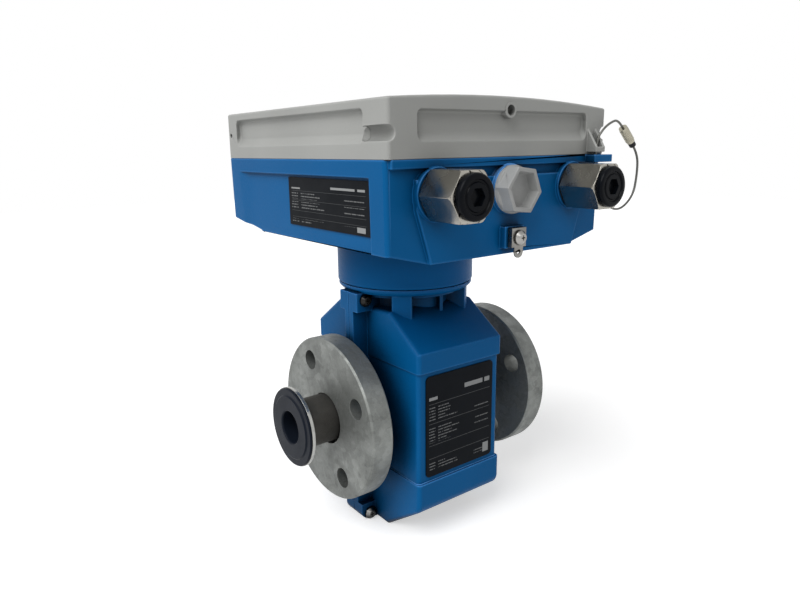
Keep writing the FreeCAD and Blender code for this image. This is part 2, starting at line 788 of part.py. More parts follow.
def magnet():
    """Two coils on iron poles, above and below the tube, closed by a yoke strap."""
    pole = turned("upper_pole", "Z", [
        ("pole_foot", 0), ("pole_foot", "pole_radius"), ("yoke_level", "pole_radius"), ("yoke_level", 0)])
    coil = turned("upper_coil", "Z", [
        ("coil_foot", "coil_inner"), ("coil_foot", "coil_outer"),
        ("coil_top", "coil_outer"), ("coil_top", "coil_inner")])
    half_width, inside = "yoke_width / 2", "yoke_half_depth - yoke_thickness"
    outer = block("yoke_outer", (f"-{half_width}", half_width), ("-yoke_half_depth", "yoke_half_depth"),
                  ("-yoke_level - yoke_thickness", "yoke_level + yoke_thickness"))
    inner = block("yoke_inner", ALL_X, (f"-({inside})", inside), ("-yoke_level", "yoke_level"))
    lead_hole = rod("yoke_lead_hole", ALONG_Y, "1.2 * electrode_head_radius", "4 * yoke_half_depth",
                    y="-2 * yoke_half_depth")
    down = FreeCAD.Vector(0, 0, 1)
    return [pole, mirrored("lower_pole", pole, down), coil, mirrored("lower_coil", coil, down),
            less("magnet_yoke", outer, [inner, lead_hole])]


def electrodes():
    """A pin through the tube wall on each side, its tip in the lining and a head outside the tube."""
    tip = "lining_bore / 2 + electrode_setback"
    rear = turned("rear_electrode", "Y", [
        (tip, 0),
        (tip, "electrode_radius"),
        ("electrode_reach - electrode_head_length", "electrode_radius"),
        ("electrode_reach - electrode_head_length", "electrode_head_radius"),
        ("electrode_reach", "electrode_head_radius"),
        ("electrode_reach", 0),
    ])
    return [mirrored("front_electrode", rear, FreeCAD.Vector(0, 1, 0)), rear]


def bored_for_electrodes(solid, label, radius):
    """A tube or lining with the cross hole that the electrodes go through."""
    hole = rod(label + "_cross_hole", ALONG_Y, radius, "4 * electrode_reach", y="-2 * electrode_reach")
    return less(label, solid, [hole])


# --------------------------------------------------------------------------- neck

def neck_ring():
    """The turning neck: a spigot and rim held in the collar, and the wide ring above them."""
    return turned("neck_ring", "Z", [
        ("neck_rim_foot", "neck_bore_radius"),
        ("neck_rim_foot", "neck_rim_radius"),
        ("neck_rim_top", "neck_rim_radius"),
        ("neck_rim_top", "neck_spigot_radius"),
        ("neck_foot", "neck_spigot_radius"),
        ("neck_foot", "neck_seal_inner"),
        ("neck_seal_top", "neck_seal_inner"),
        ("neck_seal_top", "neck_seal_outer"),
        ("neck_foot", "neck_seal_outer"),
        ("neck_foot", "neck_radius - head_bevel"),
        ("neck_foot + head_bevel", "neck_radius"),
        ("neck_top", "neck_radius"),
        ("neck_top", "neck_bore_radius"),
    ])


def neck_seal():
    foot = "neck_foot - neck_seal_sink"
    return turned("neck_seal", "Z", [
        (foot, "neck_seal_inner + fit"), (foot, "neck_seal_outer - fit"),
        ("neck_seal_top", "neck_seal_outer - fit"), ("neck_seal_top", "neck_seal_inner + fit")])


# --------------------------------------------------------------------------- transmitter housing

FRONT = "-case_front"


def case_shell():
    """The transmitter housing: a deep tray with tapered sides and a keel under its middle."""
    depth = "case_front + case_rear"
    tray = extruded("case_tray", "XZ_Plane", [
        ("-case_foot_half_width", "case_foot"), ("case_foot_half_width", "case_foot"),
        ("case_half_width", "case_split"), ("-case_half_width", "case_split")], FRONT, depth)
    slope = extruded("case_rear_slope", "YZ_Plane", [
        ("rear_slope_from", "case_foot"), ("case_rear + 1", "case_foot + rear_slope_rise"),
        ("case_rear + 1", "case_foot - 1"), ("rear_slope_from", "case_foot - 1")],
        "-2 * case_half_width", "4 * case_half_width")
    tray = less("case_tray_sloped", tray, [slope])
    tray = rounded("case_tray_round", tray, size("case_round"),
                   lambda edge: abs(edge.tangentAt(edge.FirstParameter).z) > 0.9)
    keel = extruded("case_keel", "XZ_Plane", [
        ("-case_foot_half_width + case_round", "case_foot"), ("-keel_half_width", "neck_top"),
        ("keel_half_width", "neck_top"), ("case_foot_half_width - case_round", "case_foot"),
        ("case_foot_half_width - case_round", "case_foot + 1"),
        ("-case_foot_half_width + case_round", "case_foot + 1")], FRONT, "case_front + keel_rear")
    apron = extruded("case_apron", "XZ_Plane", [
        ("-keel_half_width", "neck_top"), ("keel_half_width", "neck_top"),
        ("apron_half_width", "apron_corner"), ("apron_half_width", "apron_top"),
        ("-apron_half_width", "apron_top"), ("-apron_half_width", "apron_corner")],
        "-apron_front", "case_wall")
    sill = block("case_sill", ("-case_half_width + case_round", "case_half_width - case_round"),
                 ("-lid_front", "-case_inner_front"), ("sill_foot", "case_split"))
    ear = block("case_ear", ("ear_end - ear_width", "ear_end"), ("-lug_front", "-case_inner_front"),
                ("sill_foot", "ear_top"))
    return joined("case_shell", [tray, keel, apron, sill, ear] + entry_bosses() + [earth_boss()])


def entry_bosses():
    return [
        rod(f"entry_boss_{number}", ALONG_Y, "entry_boss_radius", "entry_boss_front - case_inner_front",
            x=f"{number} * entry_pitch", y="-entry_boss_front", z="entry_level")
        for number in (-1, 0, 1)
    ]


def earth_boss():
    half, low = "earth_boss_width / 2", "earth_level - earth_boss_height / 2"
    return block("earth_boss", (f"earth_x - {half}", f"earth_x + {half}"),
                 ("-earth_boss_front", "-case_inner_front"), (low, f"{low} + earth_boss_height"))


def side_panels(label, front, rear, ramp, depth, foot, top, half_width):
    """Cutters for the shallow panels in both long sides, with a ramp at the rear end."""
    right = extruded(label + "_right", "XY_Plane", [
        (f"{half_width} - {depth}", f"-({front})"), (f"{half_width} - {depth}", rear),
        (half_width, f"{rear} + {ramp}"), (f"2 * {half_width}", f"{rear} + {ramp}"),
        (f"2 * {half_width}", f"-({front})")], foot, f"{top} - ({foot})")
    return [right, mirrored(label + "_left", right, FreeCAD.Vector(1, 0, 0))]


def inner_room(label, wall, foot, top):
    """The room inside the housing or the lid, as one block with rounded corners."""
    half_width = f"case_half_width - {wall}"
    room = block(label + "_block", (f"-({half_width})", half_width),
                 (f"-(case_front - {wall})", f"case_rear - {wall}"), (foot, top))
    return rounded(label, room, size("case_round"), lambda edge: runs_along(edge, 2))


def lid_screw_places():
    return [
        ("-lid_screw_x", "-lid_screw_front", "left_front"),
        ("-lid_screw_x", "lid_screw_rear", "left_rear"),
        ("lid_screw_x", "-lid_screw_front", "right_front"),
        ("lid_screw_x", "lid_screw_rear", "right_rear"),
    ]


def corner_columns(label, foot, top):
    """Columns in the four corners that take the lid screws."""
    return [rod(f"{label}_{name}", UPRIGHT, "lid_screw_boss", f"{top} - ({foot})", x, y, foot)
            for x, y, name in lid_screw_places()]


def gasket_ring(label, play):
    """A rectangular ring along the rim of the housing, with a play on every side."""
    out = f"case_wall / 2 - gasket_width / 2 - {play}"
    into = f"case_wall / 2 + gasket_width / 2 + {play}"
    rings = []
    for name, inset in (("outer", out), ("inner", into)):
        half_width = f"case_half_width - ({inset})"
        rings.append(block(f"{label}_{name}", (f"-({half_width})", half_width),
                           (f"-(case_front - ({inset}))", f"case_rear - ({inset})"),
                           (f"gasket_foot - {play}", f"gasket_top + {play}")))
    return less(label, rings[0], [rings[1]])


def transmitter_housing():
    room = inner_room("case_room", "case_wall", "case_floor", "case_split + 1")
    room = less("case_room_with_columns", room, corner_columns("case_column", "case_floor", "case_split + 1"))
    entries = [
        rod(f"entry_hole_{number}", ALONG_Y, "entry_radius", "2 * case_wall + entry_boss_front - case_front",
            x=f"{number} * entry_pitch", y="-entry_boss_front - 1", z="entry_level")
        for number in (-1, 0, 1)
    ]
    threads = [rod(f"lid_thread_{name}", UPRIGHT, "lid_screw_radius + fit", "lid_screw_depth + 1",
                   x, y, "lid_screw_foot - 1") for x, y, name in lid_screw_places()]
    lead_hole = rod("neck_lead_hole", UPRIGHT, "neck_passage_radius", "case_floor - neck_top + 2",
                    z="neck_top - 1")
    eye = rod("ear_eye", UPRIGHT, "eye_radius", "sill_height + 2", "eye_x", "-eye_front", "sill_foot - 1")
    earth_thread = rod("earth_thread", ALONG_Y, "earth_screw_diameter / 2 + fit", "case_wall",
                       x="earth_x", y="-earth_boss_front", z="earth_level")
    panels = side_panels("case_panel", "panel_front", "panel_rear", "panel_ramp", "panel_depth",
                         "neck_top", "panel_top", "case_half_width")
    tools = [room, lead_hole, eye, earth_thread] + entries + threads + panels
    opened = less("case_open", case_shell(), tools)
    return less("transmitter_housing", opened, [gasket_ring("gasket_groove", "fit")])


# --------------------------------------------------------------------------- lid

def lid_front_panel():
    """Cutter for the long recess in the front of the lid, with a ramp along its foot."""
    return extruded("lid_front_panel", "YZ_Plane", [
        ("-lid_front - 1", "lid_front_foot"), ("-lid_front", "lid_front_foot"),
        ("-lid_front_floor", "lid_front_foot + lid_panel_ramp"),
        ("-lid_front_floor", "lid_front_top - lid_front_lip"),
        ("-lid_front", "lid_front_top"), ("-lid_front - 1", "lid_front_top")],
        "-lid_front_reach", "2 * lid_front_reach")


def lid_side_panel():
    """Cutter for the recess in the right side of the lid, with a ramp along its foot."""
    edge = "case_half_width"
    return extruded("lid_side_panel", "XZ_Plane", [
        (f"{edge} + 1", "lid_side_foot"), (edge, "lid_side_foot"),
        ("lid_side_floor", "lid_side_foot + lid_panel_ramp"),
        ("lid_side_floor", "lid_side_top - lid_side_lip"),
        (edge, "lid_side_top"), (f"{edge} + 1", "lid_side_top")],
        "-lid_side_front", "lid_side_front + lid_side_rear")


def lid_notch():
    """Cutters for the slots round both front corners, below the lid screws."""
    slot = block("lid_notch_slot", ("-2 * case_half_width", "lid_notch_floor"),
                 ("-2 * case_front", "-lid_side_front + 1"), ("lid_notch_foot", "lid_notch_top"))
    end = rod("lid_notch_end", ALONG_Y, "lid_notch_height / 2", "2 * case_front - lid_side_front",
              x="lid_notch_floor", y="-2 * case_front", z="lid_notch_foot + lid_notch_height / 2")
    across = FreeCAD.Vector(1, 0, 0)
    return [slot, end, mirrored("lid_notch_slot_right", slot, across),
            mirrored("lid_notch_end_right", end, across)]


def wire_lug():
    """The lug at the right front of the lid: a floor with an eye, between two gussets."""
    floor = block("lug_plate_floor", ("lug_left", "lug_right"), ("-lug_front", "-lid_front + 1"),
                  ("lug_foot", "lug_floor"))
    gussets = [
        extruded(f"lug_gusset_{k}", "YZ_Plane", [
            ("-lid_front + 1", "lug_foot"), ("-lug_front", "lug_foot"), ("-lug_front", "lug_floor"),
            ("-lid_front", "lug_top"), ("-lid_front + 1", "lug_top")],
            f"lug_left + {k} * lug_pitch", "lug_plate")
        for k in (0, 1)
    ]
    return [floor] + gussets


def housing_lid():
    """The lid: a shallow hood with a crowned top, recessed sides and a display window."""
    hood = block("lid_block", ("-case_half_width", "case_half_width"), ("-lid_front", "case_rear"),
                 ("case_split", "lid_crown + 1"))
    radius = "((case_half_width + lid_crown_x) ^ 2 + lid_rise ^ 2) / (2 * lid_rise)"
    crown = rod("lid_crown_reach", ALONG_Y, radius, "2 * (case_front + case_rear)",
                x="lid_crown_x", y="-2 * case_front", z=f"lid_crown - {radius}")
    hood = shared("lid_hood", hood, crown)
    hood = rounded("lid_corners", hood, size("case_round"), lambda edge: runs_along(edge, 2))
    top = size("lid_edge") - 2 * size("lid_round")
    hood = rounded("lid_soft", hood, size("lid_round"), lambda edge: edge.BoundBox.ZMin > top
                   and edge.BoundBox.DiagonalLength > 0.5)
    port = rod("lid_port_boss", ALONG_Y, "lid_port_outer", "case_wall", x="lid_port_x",
               y="-lid_front - lid_port_lip", z="lid_port_level")
    side = lid_side_panel()
    panels = [lid_front_panel(), side, mirrored("lid_side_panel_left", side, FreeCAD.Vector(1, 0, 0))]
    shell = joined("lid_shell", [less("lid_recessed", hood, panels), port] + wire_lug())
    room = inner_room("lid_room", "lid_wall", "case_split - 1", "lid_ceiling")
    columns = corner_columns("lid_column", "case_split - 1", "lid_ceiling + 1")
    room = less("lid_room_with_columns", room, columns)
    port_hole = rod("lid_port_hole", ALONG_Y, "lid_port_inner", "case_wall", x="lid_port_x",
                    y="-lid_front - 1", z="lid_port_level")
    eye = rod("lug_eye", UPRIGHT, "eye_radius", "lug_floor_thickness + 2", "eye_x", "-eye_front",
              "lug_foot - 1")
    drain = rod("lid_side_hole", ALONG_X, "lid_drain_radius", "case_wall / 2", x="-case_half_width - 1",
                y="case_rear - lid_drain_margin", z="lid_notch_top - lid_drain_radius")
    screw_holes = []
    for x, y, name in lid_screw_places():
        screw_holes.append(rod(f"lid_hole_{name}", UPRIGHT, "lid_screw_radius + seat_gap",
                               "lid_head_level - case_split + 2", x, y, "case_split - 1"))
        screw_holes.append(rod(f"lid_counterbore_{name}", SEAM_ASIDE, "lid_head_radius + seat_gap",
                               "lid_crown - lid_head_level + 1", x, y, "lid_head_level"))
    cutters = [room, port_hole, eye, drain] + lid_notch() + screw_holes + window_cuts()
    return less("housing_lid", less("lid_open", shell, cutters), [gasket_ring("lid_gasket_groove", "fit")])


def window_cuts():
    """The view opening through the lid and the wider seat of its pane."""
    half_length, half_width = "window_length / 2", "window_width / 2"
    view = block("window_view", (f"-{half_length}", half_length), (f"-{half_width}", half_width),
                 ("lid_ceiling - 1", "window_level"))
    seat = block("window_seat", (f"-{half_length} - window_rim", f"{half_length} + window_rim"),
                 (f"-{half_width} - window_rim", f"{half_width} + window_rim"),
                 ("window_foot", "lid_crown + 1"))
    return [view, seat]


def display_window():
    half_length = "window_length / 2 + window_rim - fit"
    half_width = "window_width / 2 + window_rim - fit"
    return named(block("window_pane", (f"-({half_length})", half_length), (f"-({half_width})", half_width),
                       ("window_foot", "window_level")), "display_window")


def lid_screws():
    screws = []
    for x, y, name in lid_screw_places():
        screw = turned(f"lid_screw_{name}", "Z", [
            ("lid_screw_foot", 0), ("lid_screw_foot", "lid_screw_radius"),
            ("lid_head_level", "lid_screw_radius"), ("lid_head_level", "lid_head_radius"),
            ("lid_head_top", "lid_head_radius"), ("lid_head_top", 0)])
        screws.append(place(screw, x, y, 0))
    return group("lid_screws", screws)


# --------------------------------------------------------------------------- electronics

def electronics():
    """The electronics module, its terminal strip and the display under the window."""
    half_length, half_stalk = "module_length / 2", "stalk_width / 2"
    module = block("module_block", (f"-{half_length}", half_length), ("module_front", "module_rear"),
                   ("case_floor", "module_top"))
    module = rounded("module_round", module, size("module_round"), lambda edge: runs_along(edge, 2))
    stalk = block("display_stalk", (f"-{half_stalk}", half_stalk), (f"-{half_stalk}", half_stalk),
                  ("module_top", "display_foot"))
    half_display, half_glass = "window_length / 2 - display_margin", "window_width / 2 - display_margin"
    display = block("display_module", (f"-({half_display})", half_display),
                    (f"-({half_glass})", half_glass), ("display_foot", "display_level"))
    half_strip = "terminal_length / 2"
    strip = block("terminal_block", (f"-{half_strip}", half_strip),
                  ("module_front - terminal_depth", "module_front"), ("case_floor", "terminal_top"))
    count = int(size("terminal_length") // size("terminal_pitch"))
    wells = [rod(f"terminal_well_{k}", UPRIGHT, "0.3 * terminal_pitch", "terminal_height / 2",
                 f"{k - (count - 1) / 2} * terminal_pitch", "module_front - terminal_depth / 2",
                 "terminal_top - terminal_height / 2") for k in range(count)]
    return [joined("electronics_module", [module, stalk]), named(display, "display_module"),
            less("terminal_strip", strip, wells)]


# --------------------------------------------------------------------------- cable entries

def hex_prism(label, width, start, length, x="0", turn=0):
    """A hexagonal prism along Y, from the front coordinate -start back towards the housing."""
    prism = extruded(label, "XZ_Plane", hexagon(width), f"-({start})", length)
    place(prism, x, 0, "entry_level")
    if turn:
        prism.Placement.Rotation = FreeCAD.Rotation(FreeCAD.Vector(0, 1, 0), 1)
        prism.setExpression("Placement.Rotation.Angle", formula(f"({turn}) * 1 deg"))
    return prism


def bevelled_hex(label, width, start, length, x, edge):
    """A hexagonal prism whose front corners are turned off by a cone."""
    prism = hex_prism(label + "_hex", width, start, length, x)
    across = f"({width}) / sqrt(3)"
    cone = turned(label + "_cone", "Y", [
        (f"-({start})", 0), (f"-({start})", f"{across} - 2 * {edge}"),
        (f"-({start}) + {edge}", across), (f"-({start}) + {length}", across), (f"-({start}) + {length}", 0)])
    return shared(label, prism, place(cone, x, 0, "entry_level"))


def cable_gland(side, x):
    """A sealing ring, a threaded base, a cap nut and the plug that closes the unused gland."""
    level = "entry_level"
    seal_radius = "gland_width / 2 - small_bevel"
    gasket = turned(f"{side}_gland_seal", "Y", [
        ("-entry_boss_front", "entry_radius + fit"), ("-entry_boss_front", seal_radius),
        ("-gland_front", seal_radius), ("-gland_front", "entry_radius + fit")])
    place(gasket, x, 0, level)
    through = "gland_nut_end - case_front + 4 * case_wall"
    thread_start = "-gland_nut_foot - 0.6 * gland_nut_length"
    base_hex = bevelled_hex(f"{side}_gland_base_block", "gland_width", "gland_nut_foot",
                            "gland_base_length", x, "gland_base_bevel")
    shank = rod(f"{side}_gland_shank", ALONG_Y, "entry_radius - fit", "gland_gasket + 1.5 * case_wall",
                x, "-gland_front", level)
    thread = rod(f"{side}_gland_thread", ALONG_Y, "gland_thread", "0.6 * gland_nut_length + 1",
                 x, thread_start, level)
    bore = rod(f"{side}_gland_bore", ALONG_Y, "gland_bore", through, x, "-gland_nut_end", level)
    base = less(f"{side}_gland_base", joined(f"{side}_gland_base_solid", [base_hex, shank, thread]), [bore])
    nut_block = bevelled_hex(f"{side}_gland_nut_block", "gland_width", "gland_nut_end",
                             "gland_nut_length - seat_gap", x, "gland_nut_bevel")
    nut_thread = rod(f"{side}_nut_thread", ALONG_Y, "gland_thread + fit", "0.6 * gland_nut_length + 1",
                     x, f"{thread_start} - fit", level)
    nut_mouth = rod(f"{side}_nut_mouth", ALONG_Y, "gland_stop_stem + fit", through, x,
                    "-gland_nut_end - 1", level)
    nut = less(f"{side}_gland_nut", nut_block, [nut_thread, nut_mouth])
    stop_front, stop_end = "-gland_nut_end - gland_stop_height", "-gland_nut_end + gland_stop_depth"
    stop = turned(f"{side}_gland_stop_blank", "Y", [
        (stop_front, 0), (stop_front, "gland_stop_radius - head_bevel"),
        (f"{stop_front} + head_bevel", "gland_stop_radius"), ("-gland_nut_end", "gland_stop_radius"),
        ("-gland_nut_end", "gland_stop_stem"), (stop_end, "gland_stop_stem"), (stop_end, 0)])
    place(stop, x, 0, level)
    key = hex_prism(f"{side}_gland_key", "gland_stop_key", "gland_nut_end + gland_stop_height + 1",
                    "gland_key_depth + 1", x)
    return [gasket, base, nut, less(f"{side}_gland_stop", stop, [key])]


def blanking_plug():
    """The plastic plug of the middle entry, with a hollow hexagonal head."""
    collar = turned("blank_collar", "Y", [
        ("-blank_collar_front", 0), ("-blank_collar_front", "blank_flange_radius - head_bevel"),
        ("-blank_collar_front + head_bevel", "blank_flange_radius"),
        ("-entry_boss_front", "blank_flange_radius"), ("-entry_boss_front", "entry_radius - fit"),
        ("-case_inner_front", "entry_radius - fit"), ("-case_inner_front", 0)])
    place(collar, 0, 0, "entry_level")
    head = hex_prism("blank_head", "blank_width", "blank_head_front", "blank_height + 1", turn="blank_turn")
    hollow = hex_prism("blank_hollow", "blank_width - 2 * blank_wall", "blank_head_front + 1",
                       "blank_height + 2", turn="blank_turn")
    return less("blanking_plug", joined("blank_solid", [collar, head]), [hollow])


def earth_terminal():
    """The clamp plate with folded edges, its tongue, and the screw that holds them."""
    half, foot = "earth_plate_width / 2", "earth_plate_foot"
    sheet_depth = ("-earth_plate_front", "-earth_plate_front + earth_plate_thickness")
    plate = block("earth_plate", (f"earth_x - {half}", f"earth_x + {half}"), sheet_depth,
                  (foot, f"{foot} + earth_plate_height"))
    folds = [block(f"earth_fold_{name}", across, ("-earth_plate_front", "-earth_boss_front"),
                   (foot, f"{foot} + earth_plate_height"))
             for name, across in (
                 ("left", (f"earth_x - {half}", f"earth_x - {half} + earth_plate_thickness")),
                 ("right", (f"earth_x + {half} - earth_plate_thickness", f"earth_x + {half}")))]
    tongue = block("earth_tongue", ("earth_x - earth_tongue_width / 2", "earth_x + earth_tongue_width / 2"),
                   sheet_depth, (f"{foot} - earth_tongue_length", foot))
    hole = rod("earth_hole", ALONG_Y, "earth_screw_diameter / 2 + fit", "earth_plate_front", "earth_x",
               "-earth_plate_front - 1", "earth_level")
    front, end = "-earth_plate_front", "-earth_boss_front + case_wall - head_bevel"
    screw = turned("earth_screw", "Y", [
        (f"{front} - earth_head_height", 0),
        (f"{front} - earth_head_height", "earth_head_diameter * 0.3"),
        (f"{front} - 0.4 * earth_head_height", "earth_head_diameter / 2"),
        (front, "earth_head_diameter / 2"), (front, "earth_screw_diameter / 2"),
        (end, "earth_screw_diameter / 2"), (end, 0)])
    place(screw, "earth_x", 0, "earth_level")
    return [less("earth_clamp", joined("earth_clamp_solid", [plate, tongue] + folds), [hole]), screw]


# --------------------------------------------------------------------------- nameplate and wire

def transmitter_nameplate():
    return named(block("case_plate_block", ("-case_plate_back - plate_thickness", "-case_plate_back"),
                       ("-case_plate_front", "case_plate_length - case_plate_front"),
                       ("case_plate_top - case_plate_height", "case_plate_top")),
                 "transmitter_nameplate")


def wire_path(points):
    """Straight runs joined by tangent arcs as large as the two runs at each point allow."""
    edges, last = [], points[0]
    for before, corner, after in zip(points, points[1:], points[2:]):
        back, ahead = before - corner, after - corner
        turn = math.pi - back.getAngle(ahead)
        reach = 0.45 * min(back.Length, ahead.Length)
        print(f"wire bend: turn {math.degrees(turn):.0f} deg, radius {reach / math.tan(turn / 2):.1f}")
        back.normalize()
        ahead.normalize()
        start, end = corner + back * reach, corner + ahead * reach
        inward = (back + ahead).normalize()
        radius = reach / math.tan(turn / 2)
        crest = corner + inward * (radius / math.cos(turn / 2) - radius)
        edges += [Part.LineSegment(last, start).toShape(), Part.Arc(start, crest, end).toShape()]
        last = end
    edges.append(Part.LineSegment(last, points[-1]).toShape())
    return Part.Wire(edges)


def wire_points():
    """The points of the wire's route, in the frame of the whole meter."""
    eye = FreeCAD.Vector(size("eye_x"), -size("eye_front"), size("case_split"))
    return [eye + FreeCAD.Vector(*step) for step in WIRE_ROUTE]


def wire_loop():
    points = wire_points()
    path = wire_path(points)
    radius = size("wire_diameter") / 2
    ring = Part.Wire(Part.makeCircle(radius, points[0], points[1] - points[0]))
    wire = doc.addObject("Part::Feature", "wire_loop")
    wire.Shape = path.makePipeShell([ring], True, False)
    wanted = math.pi * radius ** 2 * path.Length
    print(f"wire: length {path.Length:.1f}, volume {wire.Shape.Volume:.1f} of {wanted:.1f}")
    return named(wire, "wire_loop")


def wire_clasp():
    """The screw barrel that joins both ends of the wire, and its dark nut."""
    lower, *_, upper = wire_points()
    along = (lower - upper).normalize()
    meet = lower - along * size("clasp_nut_length")
    pieces = []
    for label, start, end, width in (("clasp_barrel", upper, meet, "clasp_diameter"),
                                     ("clasp_nut", meet, lower, "clasp_nut_diameter")):
        piece = doc.addObject("Part::Feature", label)
        piece.Shape = Part.makeCylinder(size(width) / 2, (end - start).Length, start, along)
        pieces.append(named(piece, label))
    return pieces


# --------------------------------------------------------------------------- assembly and export

def pieces():
    collar = lap_collar()
    yield bored_for_electrodes(named(measuring_tube(), "tube_blank"), "measuring_tube",
                               "electrode_radius + seat_gap")
    yield bored_for_electrodes(named(tube_lining(), "lining_blank"), "tube_lining", "electrode_radius + fit")
    yield collar
    yield mirrored("inlet_collar", collar, FreeCAD.Vector(1, 0, 0))
    yield loose_flange("inlet_flange", "inlet_flange_face", 1)
    yield loose_flange("outlet_flange", "outlet_flange_face", -1)
    yield from half_shells()
    yield clamp_screws()
    yield from magnet()
    yield from electrodes()
    yield sensor_nameplate()
    yield neck_ring()
    yield neck_seal()
    yield transmitter_housing()
    yield housing_lid()
    yield gasket_ring("lid_gasket", "0")
    yield lid_screws()
    yield display_window()
    yield from electronics()
    yield from cable_gland("left", "-entry_pitch")
    yield from cable_gland("right", "entry_pitch")
    yield blanking_plug()
    yield from earth_terminal()
    yield transmitter_nameplate()
    yield wire_loop()
    yield from wire_clasp()


nodes = list(pieces())
doc.recompute()
failed = [item.Label for item in doc.Objects if {"Invalid", "Error"} & set(item.State)]
failed += [item.Label for item in nodes if item.Shape.isNull() or not item.Shape.isValid()]
if failed:
    raise RuntimeError("could not build " + ", ".join(failed))
for item in nodes:
    item.Shape.exportStep(os.path.join("parts", item.Label + ".step"))
print(f"{len(nodes)} pieces written")
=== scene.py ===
# %% [markdown]
# # Dressing an electromagnetic flow meter
# The construction model gives every solid of the meter at its real size and place. This lesson
# loads it as a fixed frame, lays the steel wire, softens the edges of the castings, models the
# small pieces again where they need more shape, and gives each piece a finish made of nodes.

# %% Load the frame
import bmesh
import bpy
import json
import math
from mathutils import Matrix, Vector


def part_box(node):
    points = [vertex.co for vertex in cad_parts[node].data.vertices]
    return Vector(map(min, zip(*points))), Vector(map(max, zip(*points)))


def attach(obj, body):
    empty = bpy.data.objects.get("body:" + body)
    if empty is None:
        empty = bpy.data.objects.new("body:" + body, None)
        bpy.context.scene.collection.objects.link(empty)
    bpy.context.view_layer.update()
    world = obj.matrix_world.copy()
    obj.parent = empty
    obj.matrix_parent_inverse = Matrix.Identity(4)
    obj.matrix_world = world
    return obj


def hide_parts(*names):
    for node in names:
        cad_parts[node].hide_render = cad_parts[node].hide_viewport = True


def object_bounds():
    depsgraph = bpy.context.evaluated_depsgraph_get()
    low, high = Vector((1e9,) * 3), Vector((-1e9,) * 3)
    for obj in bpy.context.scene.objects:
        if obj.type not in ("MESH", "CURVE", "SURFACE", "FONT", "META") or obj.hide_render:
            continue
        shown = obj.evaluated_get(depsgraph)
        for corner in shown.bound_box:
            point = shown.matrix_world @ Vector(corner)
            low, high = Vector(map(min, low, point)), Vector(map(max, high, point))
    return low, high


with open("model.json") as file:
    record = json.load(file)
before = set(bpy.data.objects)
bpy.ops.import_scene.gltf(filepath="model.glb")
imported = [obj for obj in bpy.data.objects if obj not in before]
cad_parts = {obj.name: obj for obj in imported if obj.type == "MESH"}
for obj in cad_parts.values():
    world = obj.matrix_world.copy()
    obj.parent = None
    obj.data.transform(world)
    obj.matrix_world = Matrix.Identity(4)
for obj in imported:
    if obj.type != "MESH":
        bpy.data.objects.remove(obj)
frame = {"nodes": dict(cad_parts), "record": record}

MM = 0.001
cad_low, cad_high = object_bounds()
collection = bpy.context.scene.collection
print("pieces in the frame:", len(frame["nodes"]))
print("height over all in mm:", round((cad_high.z - cad_low.z) / MM, 1))

# %% [markdown]
# The camera looks from the left front and a little from above. It stands close, so near corners
# look larger than far ones, and it is turned by less than a degree about its own axis. A camera
# can be aimed with a constraint, but a direction and a roll of its own are exact and stay put.

# %% Camera
CAMERA_PLACE = Vector((-0.28571, -0.36661, 0.18400))
CAMERA_FORWARD = Vector((0.5777, 0.7850, -0.2239)).normalized()
CAMERA_ROLL = math.radians(-0.86)
camera_data = bpy.data.cameras.new("camera")
camera_data.lens = 29.02
camera_data.sensor_width = 36
camera_data.shift_x = 0.0152
camera_data.shift_y = -0.0060
camera = bpy.data.objects.new("camera", camera_data)
collection.objects.link(camera)
level_right = CAMERA_FORWARD.cross(Vector((0, 0, 1))).normalized()
level_up = level_right.cross(CAMERA_FORWARD)
camera_right = level_right * math.cos(CAMERA_ROLL) + level_up * math.sin(CAMERA_ROLL)
camera_up = level_up * math.cos(CAMERA_ROLL) - level_right * math.sin(CAMERA_ROLL)
camera_turn = Matrix((camera_right, camera_up, -CAMERA_FORWARD)).transposed().to_4x4()
camera.matrix_world = Matrix.Translation(CAMERA_PLACE) @ camera_turn
bpy.context.scene.camera = camera
print("camera looks along", [round(v, 3) for v in CAMERA_FORWARD])

# %% [markdown]
# The steel wire that secures the lid runs through an eye of the housing and an eye of the lid,
# and both its ends meet in a screw clasp. A stiff thin wire takes a smooth line of its own, so a
# NURBS curve led by a few route points gives the form. Its round bevel has a depth of 1, which
# the radius of each point brings down to half the wire's thickness.

# %% The securing wire
WIRE_ROUTE = [
    (0.1148, -0.1050, 0.1825),
    (0.12115, -0.1050, 0.1767),
    (0.1222, -0.1050, 0.1639),
    (0.1189, -0.1050, 0.1476),
    (0.1013, -0.1050, 0.1383),
    (0.0832, -0.1047, 0.1479),
    (0.0755, -0.1040, 0.1685),
    (0.0755, -0.1043, 0.1865),
    (0.0794, -0.1062, 0.1934),
    (0.0880, -0.1054, 0.1975),
    (0.09632, -0.1050, 0.1994),
    (0.1020, -0.1050, 0.1942),
]
WIRE_DIAMETER = 1.5 * MM
wire_curve = bpy.data.curves.new("securing_wire", "CURVE")
wire_curve.dimensions = "3D"
wire_curve.bevel_depth = 1.0
wire_curve.bevel_resolution = 4
wire_line = wire_curve.splines.new("NURBS")
wire_line.points.add(len(WIRE_ROUTE) - 1)
for point, place in zip(wire_line.points, WIRE_ROUTE):
    point.co = (*place, 1)
    point.radius = WIRE_DIAMETER / 2
wire_line.order_u = 3
wire_line.use_endpoint_u = True
wire_line.resolution_u = 12
securing_wire = bpy.data.objects.new("securing_wire", wire_curve)
collection.objects.link(securing_wire)
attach(securing_wire, "transmitter")
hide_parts("wire_loop")
print("wire points:", len(WIRE_ROUTE))

# %% [markdown]
# The meter stands on a pale floor in a soft, even light. The surroundings light it at a low
# level and look white only to the camera, to gloss and through glass. So one value tells those
# rays from the others, and both the surroundings and the floor use it.

# %% Surroundings
ROOM_LIGHT = 0.31


